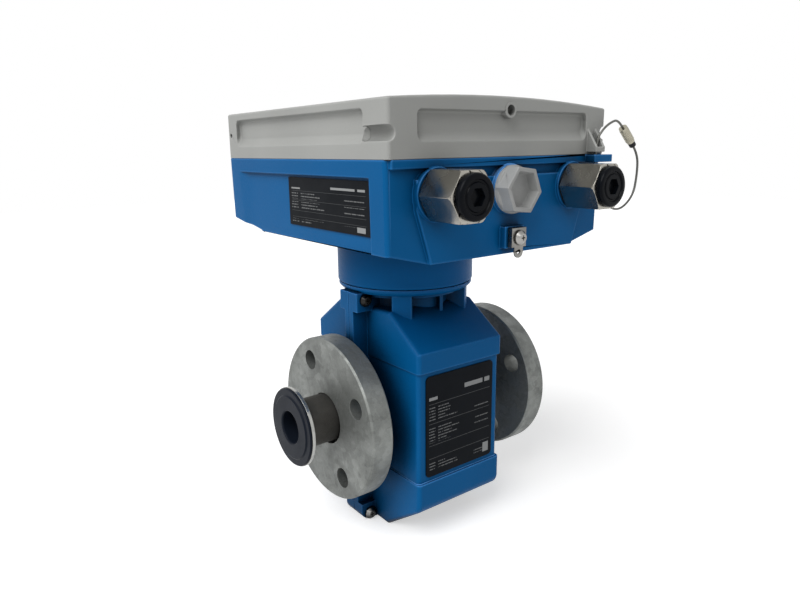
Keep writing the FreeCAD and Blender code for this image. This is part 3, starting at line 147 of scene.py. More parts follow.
def add_node(tree, kind, **settings):
    """A new node with some of its settings."""
    node = tree.nodes.new(kind)
    for name, value in settings.items():
        setattr(node, name, value)
    return node


def seen_directly(tree):
    """A value of 1 for rays of the camera, of gloss and through glass, and 0 for the others."""
    path = add_node(tree, "ShaderNodeLightPath")
    first = add_node(tree, "ShaderNodeMath", operation="MAXIMUM")
    second = add_node(tree, "ShaderNodeMath", operation="MAXIMUM")
    tree.links.new(path.outputs["Is Camera Ray"], first.inputs[0])
    tree.links.new(path.outputs["Is Glossy Ray"], first.inputs[1])
    tree.links.new(first.outputs[0], second.inputs[0])
    tree.links.new(path.outputs["Is Transmission Ray"], second.inputs[1])
    return second.outputs[0]


world = bpy.data.worlds.new("studio")
world.use_nodes = True
bpy.context.scene.world = world
room = world.node_tree
room_strength = add_node(room, "ShaderNodeMapRange")
room_strength.inputs["To Min"].default_value = ROOM_LIGHT
room_strength.inputs["To Max"].default_value = 1.0
room.links.new(seen_directly(room), room_strength.inputs["Value"])
room.links.new(room_strength.outputs["Result"], room.nodes["Background"].inputs["Strength"])
room.nodes["Background"].inputs["Color"].default_value = (1, 1, 1, 1)
print("light of the surroundings:", ROOM_LIGHT)

# %% [markdown]
# The floor is matt. A faint glow that lights nothing lifts it to the white of the surroundings
# and leaves the soft shadow below the meter.

# %% Floor
FLOOR_SIZE = 6.0
FLOOR_GLOW = 0.52
bpy.ops.mesh.primitive_plane_add(size=FLOOR_SIZE, location=(0, 0, cad_low.z))
floor = bpy.context.object
floor.name = "floor"
floor_finish = bpy.data.materials.new("floor_pale")
floor_finish.use_nodes = True
floor_tree = floor_finish.node_tree
floor_tree.nodes.remove(floor_tree.nodes["Principled BSDF"])
floor_matt = add_node(floor_tree, "ShaderNodeBsdfDiffuse")
floor_matt.inputs["Color"].default_value = (0.8, 0.8, 0.8, 1)
floor_light = add_node(floor_tree, "ShaderNodeEmission")
floor_lift = add_node(floor_tree, "ShaderNodeMath", operation="MULTIPLY")
floor_lift.inputs[1].default_value = FLOOR_GLOW
floor_sum = add_node(floor_tree, "ShaderNodeAddShader")
floor_tree.links.new(seen_directly(floor_tree), floor_lift.inputs[0])
floor_tree.links.new(floor_lift.outputs[0], floor_light.inputs["Strength"])
floor_tree.links.new(floor_matt.outputs[0], floor_sum.inputs[0])
floor_tree.links.new(floor_light.outputs[0], floor_sum.inputs[1])
floor_tree.links.new(floor_sum.outputs[0], floor_tree.nodes["Material Output"].inputs["Surface"])
floor.data.materials.append(floor_finish)
print("floor level in mm:", round(cad_low.z / MM, 1))

# %% [markdown]
# One sun from above on the left makes the left sides and the tops brighter than the front. An
# area lamp would fall off with distance. A sun doesn't, and its wide angle keeps shadows soft.

# %% Sun
SUN_FROM = Vector((-0.80, -0.20, 0.95))
sun_data = bpy.data.lights.new("side_window", "SUN")
sun_data.energy = 2.4
sun_data.angle = math.radians(45)
sun = bpy.data.objects.new("side_window", sun_data)
sun.rotation_euler = SUN_FROM.to_track_quat("Z", "Y").to_euler()
collection.objects.link(sun)
bpy.context.scene.view_settings.view_transform = "Standard"
print("height of the sun in degrees:", round(math.degrees(math.asin(SUN_FROM.normalized().z))))

# %% [markdown]
# Finishes that several materials share are node groups. Each gives out a colour, a roughness and
# a normal that change over the surface, and reads Object coordinates, so a pattern keeps its
# real size on every piece. Nodes could be laid one by one, but a small helper for the sockets
# and another for sums keep each finish short enough to read as a recipe.

# %% Sockets and sums
def finish_group(name, inputs):
    """A new node group with value or colour inputs, and its input and output nodes."""
    tree = bpy.data.node_groups.new(name, "ShaderNodeTree")
    for label, value in inputs.items():
        kind = "NodeSocketColor" if isinstance(value, tuple) else "NodeSocketFloat"
        socket = tree.interface.new_socket(label, in_out="INPUT", socket_type=kind)
        socket.default_value = value
    for label, kind in (("Color", "NodeSocketColor"), ("Roughness", "NodeSocketFloat"),
                        ("Normal", "NodeSocketVector")):
        tree.interface.new_socket(label, in_out="OUTPUT", socket_type=kind)
    return tree, add_node(tree, "NodeGroupInput"), add_node(tree, "NodeGroupOutput")


def calc(tree, operation, *values):
    """The output of a Math node; each value is a number or another output."""
    node = add_node(tree, "ShaderNodeMath", operation=operation)
    for socket, value in zip(node.inputs, values):
        if isinstance(value, (int, float)):
            socket.default_value = value
        else:
            tree.links.new(value, socket)
    return node.outputs[0]


print("sums can be made with calc")

# %% [markdown]
# Real surfaces vary because of how they were made, worn and cleaned. Each of the next helpers adds one kind
# of change: a noise, a shade, a relief, a moved range, a place, and a measure of how open a spot is, with
# which the finishes paint shade into corners and highlights onto edges. Pictures could give the same, but
# nodes stay sharp at any distance.

# %% Helpers for finishes
def object_place(tree):
    """The place on the piece in metres."""
    return add_node(tree, "ShaderNodeTexCoord").outputs["Object"]


def along_axes(tree, vector):
    """The outputs X, Y and Z of a place or a direction."""
    node = add_node(tree, "ShaderNodeSeparateXYZ")
    tree.links.new(vector, node.inputs[0])
    return node.outputs


def cloud(tree, place, scale, detail=2.0, roughness=0.5):
    """The value of a noise of so many spots to the metre."""
    node = add_node(tree, "ShaderNodeTexNoise")
    node.inputs["Scale"].default_value = scale
    node.inputs["Detail"].default_value = detail
    node.inputs["Roughness"].default_value = roughness
    tree.links.new(place, node.inputs["Vector"])
    return node.outputs["Fac"]


def shaded(tree, color, factor):
    """A colour made darker or lighter by a factor that changes over the surface."""
    node = add_node(tree, "ShaderNodeVectorMath", operation="SCALE")
    tree.links.new(color, node.inputs[0])
    tree.links.new(factor, node.inputs["Scale"])
    return node.outputs[0]


def raised(tree, height, distance, strength=1.0):
    """The normal of a surface with this height, a distance in metres."""
    node = add_node(tree, "ShaderNodeBump")
    node.inputs["Strength"].default_value = strength
    node.inputs["Distance"].default_value = distance
    tree.links.new(height, node.inputs["Height"])
    return node.outputs["Normal"]


def ramp(tree, value, low, high, to_low, to_high):
    """A value moved from one range to another and held at its ends."""
    node = add_node(tree, "ShaderNodeMapRange")
    numbers = {"From Min": low, "From Max": high, "To Min": to_low, "To Max": to_high}
    for label, number in numbers.items():
        node.inputs[label].default_value = number
    tree.links.new(value, node.inputs["Value"])
    return node.outputs["Result"]


def clear_around(tree, distance, inside=False):
    """1 on open faces, less in corners within a distance or, from inside, along sharp edges."""
    node = add_node(tree, "ShaderNodeAmbientOcclusion", samples=8, inside=inside)
    node.inputs["Distance"].default_value = distance
    return node.outputs["AO"]


print("helpers for finishes are ready")

# %% [markdown]
# Powder coat is sprayed as dry plastic powder and melted in an oven. It flows into a skin with
# faint waves a millimetre or two apart, like the peel of an orange, and with tiny pits. Two
# noises give these, and a third, very wide one keeps a large face from looking perfectly even.
# Painted shade darkens the coat in deep corners, and a painted highlight makes sharp edges pale, most of all
# those that face up towards the light.

# %% Powder coat
CORNER_SHADE_REACH = 30 * MM
EDGE_HIGHLIGHT_REACH = 1.4 * MM
EDGE_HIGHLIGHT_GREY = 0.06
WAVE_HEIGHT = 0.04 * MM
coat, coat_in, coat_out = finish_group("powder_coat", {
    "Color": (0.5, 0.5, 0.5, 1), "Roughness": 0.4, "Waves": 1.0, "Edges": 0.5, "Corners": 0.5})
coat_place = object_place(coat)
peel = cloud(coat, coat_place, 700, 1.0)
pits = cloud(coat, coat_place, 3200, 2.0)
drift = cloud(coat, coat_place, 14, 2.0)
coat_tone = calc(coat, "ADD", ramp(coat, drift, 0.3, 0.7, 0.94, 1.05),
                 ramp(coat, pits, 0.35, 0.65, -0.02, 0.02))
# Painted shade: the colour darkens in corners within the reach, as if shadow fell there.
corner_shade = ramp(coat, clear_around(coat, CORNER_SHADE_REACH), 0.3, 0.85, 1, 0)
corner_shade_tone = calc(coat, "MULTIPLY", corner_shade, coat_in.outputs["Corners"])
unshaded_share = calc(coat, "SUBTRACT", 1.0, corner_shade_tone)
coat_tone = calc(coat, "MULTIPLY", coat_tone, unshaded_share)
# Painted highlight: sharp edges are made paler, most of all those that face up towards the light.
coat_normal = add_node(coat, "ShaderNodeNewGeometry").outputs["Normal"]
edge_highlight_mask = ramp(coat, clear_around(coat, EDGE_HIGHLIGHT_REACH, inside=True), 0.55, 0.95, 1, 0)
lit_from_above = ramp(coat, along_axes(coat, coat_normal)["Z"], -0.1, 0.6, 0.15, 1)
edge_highlight = calc(coat, "MULTIPLY", calc(coat, "MULTIPLY", edge_highlight_mask, lit_from_above), unshaded_share)
edge_highlight = calc(coat, "MULTIPLY", edge_highlight, coat_in.outputs["Edges"])
coat_tone = calc(coat, "MULTIPLY", coat_tone, calc(coat, "ADD", 1.0, edge_highlight))
# The painted highlight also adds a little grey, so that lit edges look whitish.
coat_with_highlight = add_node(coat, "ShaderNodeVectorMath", operation="ADD")
coat.links.new(shaded(coat, coat_in.outputs["Color"], coat_tone), coat_with_highlight.inputs[0])
coat.links.new(calc(coat, "MULTIPLY", edge_highlight, EDGE_HIGHLIGHT_GREY), coat_with_highlight.inputs[1])
coat.links.new(coat_with_highlight.outputs[0], coat_out.inputs["Color"])
coat_rough = calc(coat, "ADD", coat_in.outputs["Roughness"], ramp(coat, peel, 0.3, 0.7, -0.05, 0.05))
coat.links.new(coat_rough, coat_out.inputs["Roughness"])
peel_height = calc(coat, "ADD", calc(coat, "MULTIPLY", peel, coat_in.outputs["Waves"]),
                   calc(coat, "MULTIPLY", pits, 0.25))
coat.links.new(raised(coat, peel_height, WAVE_HEIGHT), coat_out.inputs["Normal"])
print("powder coat nodes:", len(coat.nodes))

# %% [markdown]
# Hot-dip zinc freezes in patches, each with its own shade of grey, over the turning marks of the
# plate below. Cells of a Voronoi pattern bent by a noise make the patches, a fine noise the
# grain, and dull spots and stains come from a third one.

# %% Zinc
GRAIN_HEIGHT = 0.06 * MM
zinc, zinc_in, zinc_out = finish_group("hot_dip_zinc", {
    "Color": (0.4, 0.4, 0.4, 1), "Roughness": 0.45, "Patches": 0.35})
zinc_place = object_place(zinc)
bend = add_node(zinc, "ShaderNodeTexNoise")
bend.inputs["Scale"].default_value = 90
zinc.links.new(zinc_place, bend.inputs["Vector"])
bent = add_node(zinc, "ShaderNodeMixRGB", blend_type="LINEAR_LIGHT")
bent.inputs["Fac"].default_value = 0.012
zinc.links.new(zinc_place, bent.inputs["Color1"])
zinc.links.new(bend.outputs["Color"], bent.inputs["Color2"])
crystals = add_node(zinc, "ShaderNodeTexVoronoi")
crystals.inputs["Scale"].default_value = 160
zinc.links.new(bent.outputs["Color"], crystals.inputs["Vector"])
crystal_value = add_node(zinc, "ShaderNodeSeparateColor")
zinc.links.new(crystals.outputs["Color"], crystal_value.inputs["Color"])
grain = cloud(zinc, zinc_place, 1300, 4.0, 0.7)
stain = cloud(zinc, zinc_place, 45, 5.0, 0.65)
patch = calc(zinc, "SUBTRACT", crystal_value.outputs[0], 0.5)
patch = calc(zinc, "MULTIPLY", patch, zinc_in.outputs["Patches"])
zinc_tone = calc(zinc, "ADD", patch, ramp(zinc, stain, 0.3, 0.7, 0.72, 1.2))
zinc_tone = calc(zinc, "ADD", zinc_tone, ramp(zinc, grain, 0.3, 0.7, -0.1, 0.1))
zinc.links.new(shaded(zinc, zinc_in.outputs["Color"], zinc_tone), zinc_out.inputs["Color"])
zinc_rough = calc(zinc, "ADD", zinc_in.outputs["Roughness"], ramp(zinc, stain, 0.3, 0.7, 0.12, -0.1))
zinc_rough = calc(zinc, "ADD", zinc_rough, calc(zinc, "MULTIPLY", patch, -0.3))
zinc.links.new(zinc_rough, zinc_out.inputs["Roughness"])
zinc_height = calc(zinc, "ADD", grain, calc(zinc, "MULTIPLY", stain, 2.0))
zinc.links.new(raised(zinc, zinc_height, GRAIN_HEIGHT), zinc_out.inputs["Normal"])
print("zinc nodes:", len(zinc.nodes))

# %% [markdown]
# A turned or brushed metal has fine grooves that run round its axis, here X. A noise that reads only the
# place along the axis and the distance from it gives such rings. Corners are darkened with painted shade.

# %% Turned metal
GROOVE_HEIGHT = 0.03 * MM
turned, turned_in, turned_out = finish_group("turned_metal", {
    "Color": (0.5, 0.5, 0.5, 1), "Roughness": 0.3, "Grooves": 0.5, "Stains": 0.2})
turned_place = object_place(turned)
turned_axes = along_axes(turned, turned_place)
across = add_node(turned, "ShaderNodeCombineXYZ")
turned.links.new(turned_axes["Y"], across.inputs["Y"])
turned.links.new(turned_axes["Z"], across.inputs["Z"])
radius = add_node(turned, "ShaderNodeVectorMath", operation="LENGTH")
turned.links.new(across.outputs[0], radius.inputs[0])
ring_place = add_node(turned, "ShaderNodeCombineXYZ")
turned.links.new(turned_axes["X"], ring_place.inputs["X"])
turned.links.new(radius.outputs["Value"], ring_place.inputs["Y"])
grooves = cloud(turned, ring_place.outputs[0], 4500, 3.0, 0.6)
blotch = cloud(turned, turned_place, 130, 4.0, 0.6)
stains = calc(turned, "MULTIPLY", turned_in.outputs["Stains"], ramp(turned, blotch, 0.3, 0.7, -1.0, 0.6))
turned_tone = calc(turned, "ADD", 1.0, stains)
turned_tone = calc(turned, "ADD", turned_tone, ramp(turned, grooves, 0.3, 0.7, -0.06, 0.06))
# Painted shade: the colour falls almost to black in corners, as if shadow fell there.
turned_tone = calc(turned, "MULTIPLY", turned_tone,
                   ramp(turned, clear_around(turned, CORNER_SHADE_REACH), 0.35, 0.8, 0.06, 1.0))
turned.links.new(shaded(turned, turned_in.outputs["Color"], turned_tone), turned_out.inputs["Color"])
turned_rough = calc(turned, "ADD", turned_in.outputs["Roughness"],
                    ramp(turned, blotch, 0.3, 0.7, 0.1, -0.06))
turned.links.new(turned_rough, turned_out.inputs["Roughness"])
groove_height = calc(turned, "MULTIPLY", grooves, turned_in.outputs["Grooves"])
turned.links.new(raised(turned, groove_height, GROOVE_HEIGHT), turned_out.inputs["Normal"])
print("turned metal nodes:", len(turned.nodes))

# %% [markdown]
# Moulded plastic and rubber copy the fine spark texture of their steel mould. A quick noise gives
# that texture, and a slower one the cloudy sheen of a piece that has been handled.

# %% Moulded plastic
SPARK_HEIGHT = 0.05 * MM
moulded, moulded_in, moulded_out = finish_group("moulded_plastic", {
    "Color": (0.1, 0.1, 0.1, 1), "Roughness": 0.5, "Texture": 0.5})
moulded_place = object_place(moulded)
spark = cloud(moulded, moulded_place, 2600, 2.0)
handled = cloud(moulded, moulded_place, 60, 3.0)
moulded_tone = calc(moulded, "ADD", ramp(moulded, handled, 0.3, 0.7, 0.88, 1.12),
                    ramp(moulded, spark, 0.3, 0.7, -0.05, 0.05))
moulded.links.new(shaded(moulded, moulded_in.outputs["Color"], moulded_tone), moulded_out.inputs["Color"])
moulded_rough = calc(moulded, "ADD", moulded_in.outputs["Roughness"],
                     ramp(moulded, handled, 0.3, 0.7, 0.08, -0.08))
moulded.links.new(moulded_rough, moulded_out.inputs["Roughness"])
spark_height = calc(moulded, "MULTIPLY", spark, moulded_in.outputs["Texture"])
moulded.links.new(raised(moulded, spark_height, SPARK_HEIGHT), moulded_out.inputs["Normal"])
print("moulded plastic nodes:", len(moulded.nodes))

# %% [markdown]
# Each material slot of the record gets one material: a Principled shader whose metallic and
# specular values are its own constants, fed by one of the groups. The colour, roughness and the
# group's other values differ from slot to slot.

# %% Materials
finishes = {}


def finish(slot, group, color, metallic=0.0, specular=0.5, **values):
    """A material for a slot, from a finish group and the shader's own constants."""
    material = bpy.data.materials.new(slot)
    material.use_nodes = True
    tree = material.node_tree
    shader = tree.nodes["Principled BSDF"]
    shader.inputs["Metallic"].default_value = metallic
    shader.inputs["Specular IOR Level"].default_value = specular
    look = add_node(tree, "ShaderNodeGroup", node_tree=group)
    look.inputs["Color"].default_value = (*color, 1)
    for label, value in values.items():
        look.inputs[label].default_value = value
    tree.links.new(look.outputs["Color"], shader.inputs["Base Color"])
    tree.links.new(look.outputs["Roughness"], shader.inputs["Roughness"])
    tree.links.new(look.outputs["Normal"], shader.inputs["Normal"])
    finishes[slot] = material
    return tree, shader, look


def darker_upwards(tree, shader, look, low, high, top):
    """Fades the colour from its full value at one height to a part of it at another."""
    fade = ramp(tree, along_axes(tree, object_place(tree))["Z"], low, high, 1.0, top)
    tree.links.new(shaded(tree, look.outputs["Color"], fade), shader.inputs["Base Color"])


# Edges sets the strength of the painted highlight on edges, Corners that of the painted shade in corners.
finish("blue_paint", coat, (0.001, 0.105, 0.30), specular=0.07, Roughness=0.42, Edges=1.8, Corners=0.9)
finish("lid_paint", coat, (0.385, 0.39, 0.376), specular=0.1, Roughness=0.42, Edges=0.3, Corners=0.55)
finish("flange_zinc", zinc, (0.20, 0.21, 0.20), metallic=0.7, Roughness=0.52, Patches=0.22)
finish("tube_steel", turned, (0.085, 0.080, 0.072), metallic=0.5, Roughness=0.5, Grooves=0.4)
finish("collar_steel", turned, (0.45, 0.45, 0.43), metallic=1.0, Roughness=0.32)
finish("lining_black", moulded, (0.008, 0.011, 0.018), specular=0.06, Roughness=0.34, Texture=0.2)
finish("screw_steel", turned, (0.36, 0.355, 0.34), metallic=1.0, Roughness=0.25, Grooves=0.1)
finish("core_iron", moulded, (0.16, 0.15, 0.14), metallic=0.8, Roughness=0.55)
finish("coil_tape", moulded, (0.30, 0.16, 0.05), Roughness=0.6)
finish("seal_rubber", moulded, (0.010, 0.010, 0.011), specular=0.15, Roughness=0.65)
finish("module_grey", moulded, (0.10, 0.105, 0.115), Roughness=0.5)
finish("display_black", moulded, (0.012, 0.015, 0.015), Roughness=0.2, Texture=0.05)
finish("terminal_green", moulded, (0.03, 0.20, 0.06), Roughness=0.5)
finish("plug_grey", moulded, (0.36, 0.365, 0.36), specular=0.3, Roughness=0.45, Texture=0.4)
finish("gland_nickel", moulded, (0.34, 0.325, 0.29), metallic=1.0, Roughness=0.24, Texture=0.12)
finish("stop_black", moulded, (0.003, 0.004, 0.006), specular=0.06, Roughness=0.26, Texture=0.2)
finish("clamp_steel", turned, (0.24, 0.235, 0.22), metallic=1.0, Roughness=0.3, Grooves=0.1)
finish("wire_steel", moulded, (0.12, 0.12, 0.11), metallic=0.7, Roughness=0.45, Texture=1.0)
finish("clasp_steel", moulded, (0.36, 0.34, 0.27), metallic=1.0, Roughness=0.28, Texture=0.3)
finish("clasp_dark", moulded, (0.008, 0.008, 0.009), specular=0.2, Roughness=0.45)
_, glass_shader, _ = finish("window_glass", moulded, (0.9, 0.93, 0.93), Roughness=0.06, Texture=0.02)
glass_shader.inputs["Transmission Weight"].default_value = 1.0
glass_shader.inputs["IOR"].default_value = 1.5
# The upper clamp screws sit in shadow under the neck ring, so their colour gets painted shade that darkens it
# upwards.
clamp_low, clamp_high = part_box("clamp_screws")
darker_upwards(*finish("painted_shade_screw_steel", turned, (0.36, 0.355, 0.34), metallic=1.0, Roughness=0.3),
               clamp_low.z, clamp_high.z, 0.06)
securing_wire.data.materials.append(finishes["wire_steel"])
print("materials:", len(finishes))

# %% [markdown]
# A nameplate is a black foil with rows of fine pale print. Here the print is only generic: rows
# of short dashes in two columns, thin rules between blocks of rows, and plain bars. Thousands of
# tiny solids could stand for it, but print has no height, so a group works it out in the
# finish. The group gets a place on the plate from 0 to 1 each way and tells where print lies.

# %% Printed rules
printed = bpy.data.node_groups.new("printed_rules", "ShaderNodeTree")
printed.interface.new_socket("Across", in_out="INPUT", socket_type="NodeSocketFloat")
printed.interface.new_socket("Up", in_out="INPUT", socket_type="NodeSocketFloat")
printed.interface.new_socket("Rows", in_out="INPUT", socket_type="NodeSocketFloat")
printed.interface.new_socket("Print", in_out="OUTPUT", socket_type="NodeSocketFloat")
printed_in = add_node(printed, "NodeGroupInput")
printed_out = add_node(printed, "NodeGroupOutput")
across_plate, up_plate, plate_rows = (printed_in.outputs[name] for name in ("Across", "Up", "Rows"))
TEXT_ROWS = ((0.56, 0.70), (0.34, 0.50), (0.06, 0.14))
RULE_LEVELS = (0.725, 0.53, 0.31, 0.18)
RULE_WIDTH = 0.005


def between(value, low, high):
    """1 where a value lies between two numbers, and 0 elsewhere."""
    above = calc(printed, "GREATER_THAN", value, low)
    return calc(printed, "MULTIPLY", above, calc(printed, "LESS_THAN", value, high))


def area(across, up):
    """1 in a rectangle of the plate, given by its reach each way, and 0 elsewhere."""
    return calc(printed, "MULTIPLY", between(across_plate, *across), between(up_plate, *up))


def any_of(*values):
    """The largest of several values."""
    largest = 0.0
    for value in values:
        largest = calc(printed, "MAXIMUM", largest, value)
    return largest


row_place = calc(printed, "MULTIPLY", up_plate, plate_rows)
row_number = calc(printed, "FLOOR", row_place)
in_row = between(calc(printed, "FRACT", row_place), 0.3, 0.64)
row_noise = add_node(printed, "ShaderNodeTexWhiteNoise", noise_dimensions="1D")
printed.links.new(row_number, row_noise.inputs["W"])
row_length = row_noise.outputs["Value"]
dash_place = add_node(printed, "ShaderNodeCombineXYZ")
printed.links.new(calc(printed, "MULTIPLY", across_plate, 80), dash_place.inputs["X"])
printed.links.new(calc(printed, "MULTIPLY", row_number, 7.3), dash_place.inputs["Y"])
dashes = calc(printed, "GREATER_THAN", cloud(printed, dash_place.outputs[0], 1.0, 3.0, 0.8), 0.46)
text_end = calc(printed, "ADD", 0.27, calc(printed, "MULTIPLY", row_length, 0.22))
label_column = between(across_plate, 0.04, 0.13)
text_column = between(across_plate, 0.17, text_end)
right_column = calc(printed, "MULTIPLY", calc(printed, "GREATER_THAN", row_length, 0.62),
                    between(across_plate, 0.72, 0.94))
columns = any_of(label_column, text_column, right_column)
blocks = any_of(*[between(up_plate, *rows) for rows in TEXT_ROWS])
text = calc(printed, "MULTIPLY", calc(printed, "MULTIPLY", in_row, dashes),
            calc(printed, "MULTIPLY", columns, blocks))
rules = any_of(*[area((0.04, 0.96), (level, level + RULE_WIDTH)) for level in RULE_LEVELS])
header = any_of(area((0.56, 0.84), (0.80, 0.845)), area((0.87, 0.95), (0.80, 0.845)))
title = area((0.04, 0.16), (0.765, 0.795))
square = area((0.86, 0.95), (0.05, 0.15))
faint = any_of(calc(printed, "MULTIPLY", text, 0.42), calc(printed, "MULTIPLY", rules, 0.22))
strong = calc(printed, "MULTIPLY", any_of(header, title, square), 0.75)
printed.links.new(calc(printed, "MAXIMUM", faint, strong), printed_out.inputs["Print"])
print("printed rules nodes:", len(printed.nodes))

# %% [markdown]
# Each plate gets a material of its own, since the print depends on where the plate lies. One
# plate is read along X and the other along Y from its far end, so that both read from the left.

# %% Nameplate materials
PRINT_GREY = (0.42, 0.43, 0.43, 1)


def nameplate_finish(name, node, across_axis, reverse, rows):
    """Black foil with print laid out over the face of one plate."""
    low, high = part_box(node)
    tree, shader, look = finish(name, moulded, (0.006, 0.0075, 0.010), specular=0.04, Roughness=0.4,
                                Texture=0.1)
    place = along_axes(tree, object_place(tree))
    axis = "XYZ".index(across_axis)
    start, end = (high[axis], low[axis]) if reverse else (low[axis], high[axis])
    rules = add_node(tree, "ShaderNodeGroup", node_tree=printed)
    tree.links.new(ramp(tree, place[across_axis], start, end, 0, 1), rules.inputs["Across"])
    tree.links.new(ramp(tree, place["Z"], low.z, high.z, 0, 1), rules.inputs["Up"])
    rules.inputs["Rows"].default_value = rows
    inked = add_node(tree, "ShaderNodeMixRGB")
    inked.inputs["Color2"].default_value = PRINT_GREY
    tree.links.new(rules.outputs["Print"], inked.inputs["Fac"])
    tree.links.new(look.outputs["Color"], inked.inputs["Color1"])
    tree.links.new(inked.outputs["Color"], shader.inputs["Base Color"])
    return finishes.pop(name)


sensor_print = nameplate_finish("sensor_plate_print", "sensor_nameplate", "X", False, 34)
transmitter_print = nameplate_finish("transmitter_plate_print", "transmitter_nameplate", "Y", True, 17)
plate_finishes = {"sensor_nameplate": sensor_print, "transmitter_nameplate": transmitter_print}
print("nameplates:", list(plate_finishes))

# %% [markdown]
# The record names the slot of each node. Every solid gets the material of its slot, except the
# two plates, which get their printed ones.

# %% Finishes on the carried pieces
slot_of = {part["node"]: part["material_slot"] for part in frame["record"]["subparts"]}
body_of = {node: body for body, nodes in frame["record"]["behaviour"]["bodies"].items() for node in nodes}
for node, solid in frame["nodes"].items():
    if not solid.material_slots:
        solid.data.materials.append(None)
    for place in solid.material_slots:
        place.material = plate_finishes.get(node) or finishes[slot_of[node]]
print("nodes with a finish:", len(slot_of))

# %% [markdown]
# Many of the solids only need softer edges. The solid itself is left alone. Its mesh is copied,
# and the copy's loose triangles are merged into flat faces, so that operators find clean edges.
# The copy then stands for the solid and takes over its body, slot and finish.

# %% Copies of solids
def take_place_of(piece, node):
    """The piece stands for a node: it takes over its body, its slot and its finish."""
    piece.data.materials.clear()
    piece.data.materials.append(finishes[slot_of[node]])
    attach(piece, body_of[node])
    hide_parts(node)


def select_only(piece):
    """The piece alone is selected and active."""
    bpy.ops.object.select_all(action="DESELECT")
    piece.select_set(True)
    bpy.context.view_layer.objects.active = piece


def merged_copy(node):
    """A copy of a solid's mesh, its triangles merged into flat faces."""
    piece = bpy.data.objects.new(node + "_dressed", frame["nodes"][node].data.copy())
    collection.objects.link(piece)
    select_only(piece)
    bpy.ops.object.mode_set(mode="EDIT")
    bpy.ops.mesh.select_all(action="SELECT")
    bpy.ops.mesh.remove_doubles(threshold=0.000002)
    bpy.ops.mesh.dissolve_limited(angle_limit=math.radians(0.5))
    bpy.ops.object.mode_set(mode="OBJECT")
    return piece


print("solids that can be copied:", len(frame["nodes"]))

# %% [markdown]
# By hand, faces are picked with the mouse. In code they are picked by their place, which works
# the same each time. A boolean joins or cuts two closed pieces, where bridging faces by hand
# would take long and leave gaps. Its exact solver copes with faces that lie in one plane.

# %% Selecting, joining and cutting
def select_where(piece, kind, wanted):
    """Goes to edit mode with only the vertices, edges or faces selected that are wanted."""
    select_only(piece)
    bpy.ops.object.mode_set(mode="EDIT")
    bpy.ops.mesh.select_mode(type=kind)
    bpy.ops.mesh.select_all(action="DESELECT")
    bpy.ops.object.mode_set(mode="OBJECT")
    points = [vertex.co for vertex in piece.data.vertices]
    if kind == "VERT":
        for vertex in piece.data.vertices:
            vertex.select = wanted(vertex.co)
    else:
        for part in piece.data.edges if kind == "EDGE" else piece.data.polygons:
            part.select = wanted([points[number] for number in part.vertices])
    bpy.ops.object.mode_set(mode="EDIT")


def combine(piece, other, operation):
    """Cuts a closed piece with another, or keeps or adds what they share, and removes the other."""
    select_only(piece)
    both = piece.modifiers.new("both", "BOOLEAN")
    both.operation = operation
    both.solver = "EXACT"
    both.object = other
    bpy.ops.object.modifier_apply(modifier=both.name)
    bpy.data.objects.remove(other)


print("pieces can be joined, cut and kept where they overlap")

# %% [markdown]
# A die-cast or machined edge is never razor sharp: it has a small round that catches the light.
# Creases with subdivision would bend the flat faces too. A bevel by weight rounds only the edges
# that are sharper than an angle, and weighted normals then keep the flat faces flat. Where tiny
# edges crowd together, a bevel would cross itself, so such places can be left plain.

# %% Rounded edges
PLAIN_REACH = 6 * MM


def bevel_edges(piece, width, segments=3, angle=32, plain=()):
    """Rounds every edge sharper than the angle but not at plain places, then shades smoothly."""
    select_only(piece)
    shape = bmesh.new()
    shape.from_mesh(piece.data)
    weight = shape.edges.layers.float.new("bevel_weight_edge")
    for edge in shape.edges:
        middle = (edge.verts[0].co + edge.verts[1].co) / 2
        sharp = len(edge.link_faces) == 2 and edge.calc_face_angle() > math.radians(angle)
        edge[weight] = float(sharp and all((middle - place).length > PLAIN_REACH for place in plain))
    shape.to_mesh(piece.data)
    shape.free()
    bevel = piece.modifiers.new("edges", "BEVEL")
    bevel.width = width
    bevel.segments = segments
    bevel.limit_method = "WEIGHT"
    bevel.use_clamp_overlap = False
    bevel.miter_outer = "MITER_ARC"
    bpy.ops.object.modifier_apply(modifier=bevel.name)
    bpy.ops.object.shade_smooth_by_angle(angle=math.radians(angle))
    flat = piece.modifiers.new("flat faces", "WEIGHTED_NORMAL")
    flat.keep_sharp = True
    flat.weight = 100
    bpy.ops.object.modifier_apply(modifier=flat.name)


print("places without rounds reach so many mm:", round(PLAIN_REACH / MM))

# %% [markdown]
# The castings are rounded by half a millimetre or so, as their moulds are, and the turned collars
# and punched flanges by less. The solids hold no such rounds, because they are too fine to
# matter for size or fit.

# %% Edges of the castings and turned pieces
EDGE_ROUNDS = {
    "transmitter_housing": 0.6 * MM, "neck_ring": 0.4 * MM,
    "front_half_shell": 0.5 * MM, "rear_half_shell": 0.5 * MM, "inlet_flange": 0.2 * MM,
    "outlet_flange": 0.2 * MM, "inlet_collar": 0.15 * MM, "outlet_collar": 0.15 * MM,
    "tube_lining": 0.25 * MM,
}
rounded_faces = 0
for node, width in EDGE_ROUNDS.items():
    piece = merged_copy(node)
    bevel_edges(piece, width)
    take_place_of(piece, node)
    rounded_faces += len(piece.data.polygons)
print("rounded pieces:", len(EDGE_ROUNDS), "faces:", rounded_faces)

# %% [markdown]
# Most of the small pieces are turned or hexagonal, and many lie along Y. A profile could be
# spun, but a cylinder primitive with few or many sides gives a prism or a drum at once, and its
# front face is the start for insets and bevels. The right entry repeats the left one, so what
# stands there is modelled once and copied.

# %% Helpers for turned pieces
def move_vertices_apart(piece):
    """Puts a piece's place and turn into its mesh, so that its object sits at the origin."""
    select_only(piece)
    bpy.ops.object.transform_apply(location=True, rotation=True, scale=True)


ALONG_Y = (math.radians(-90), 0, 0)


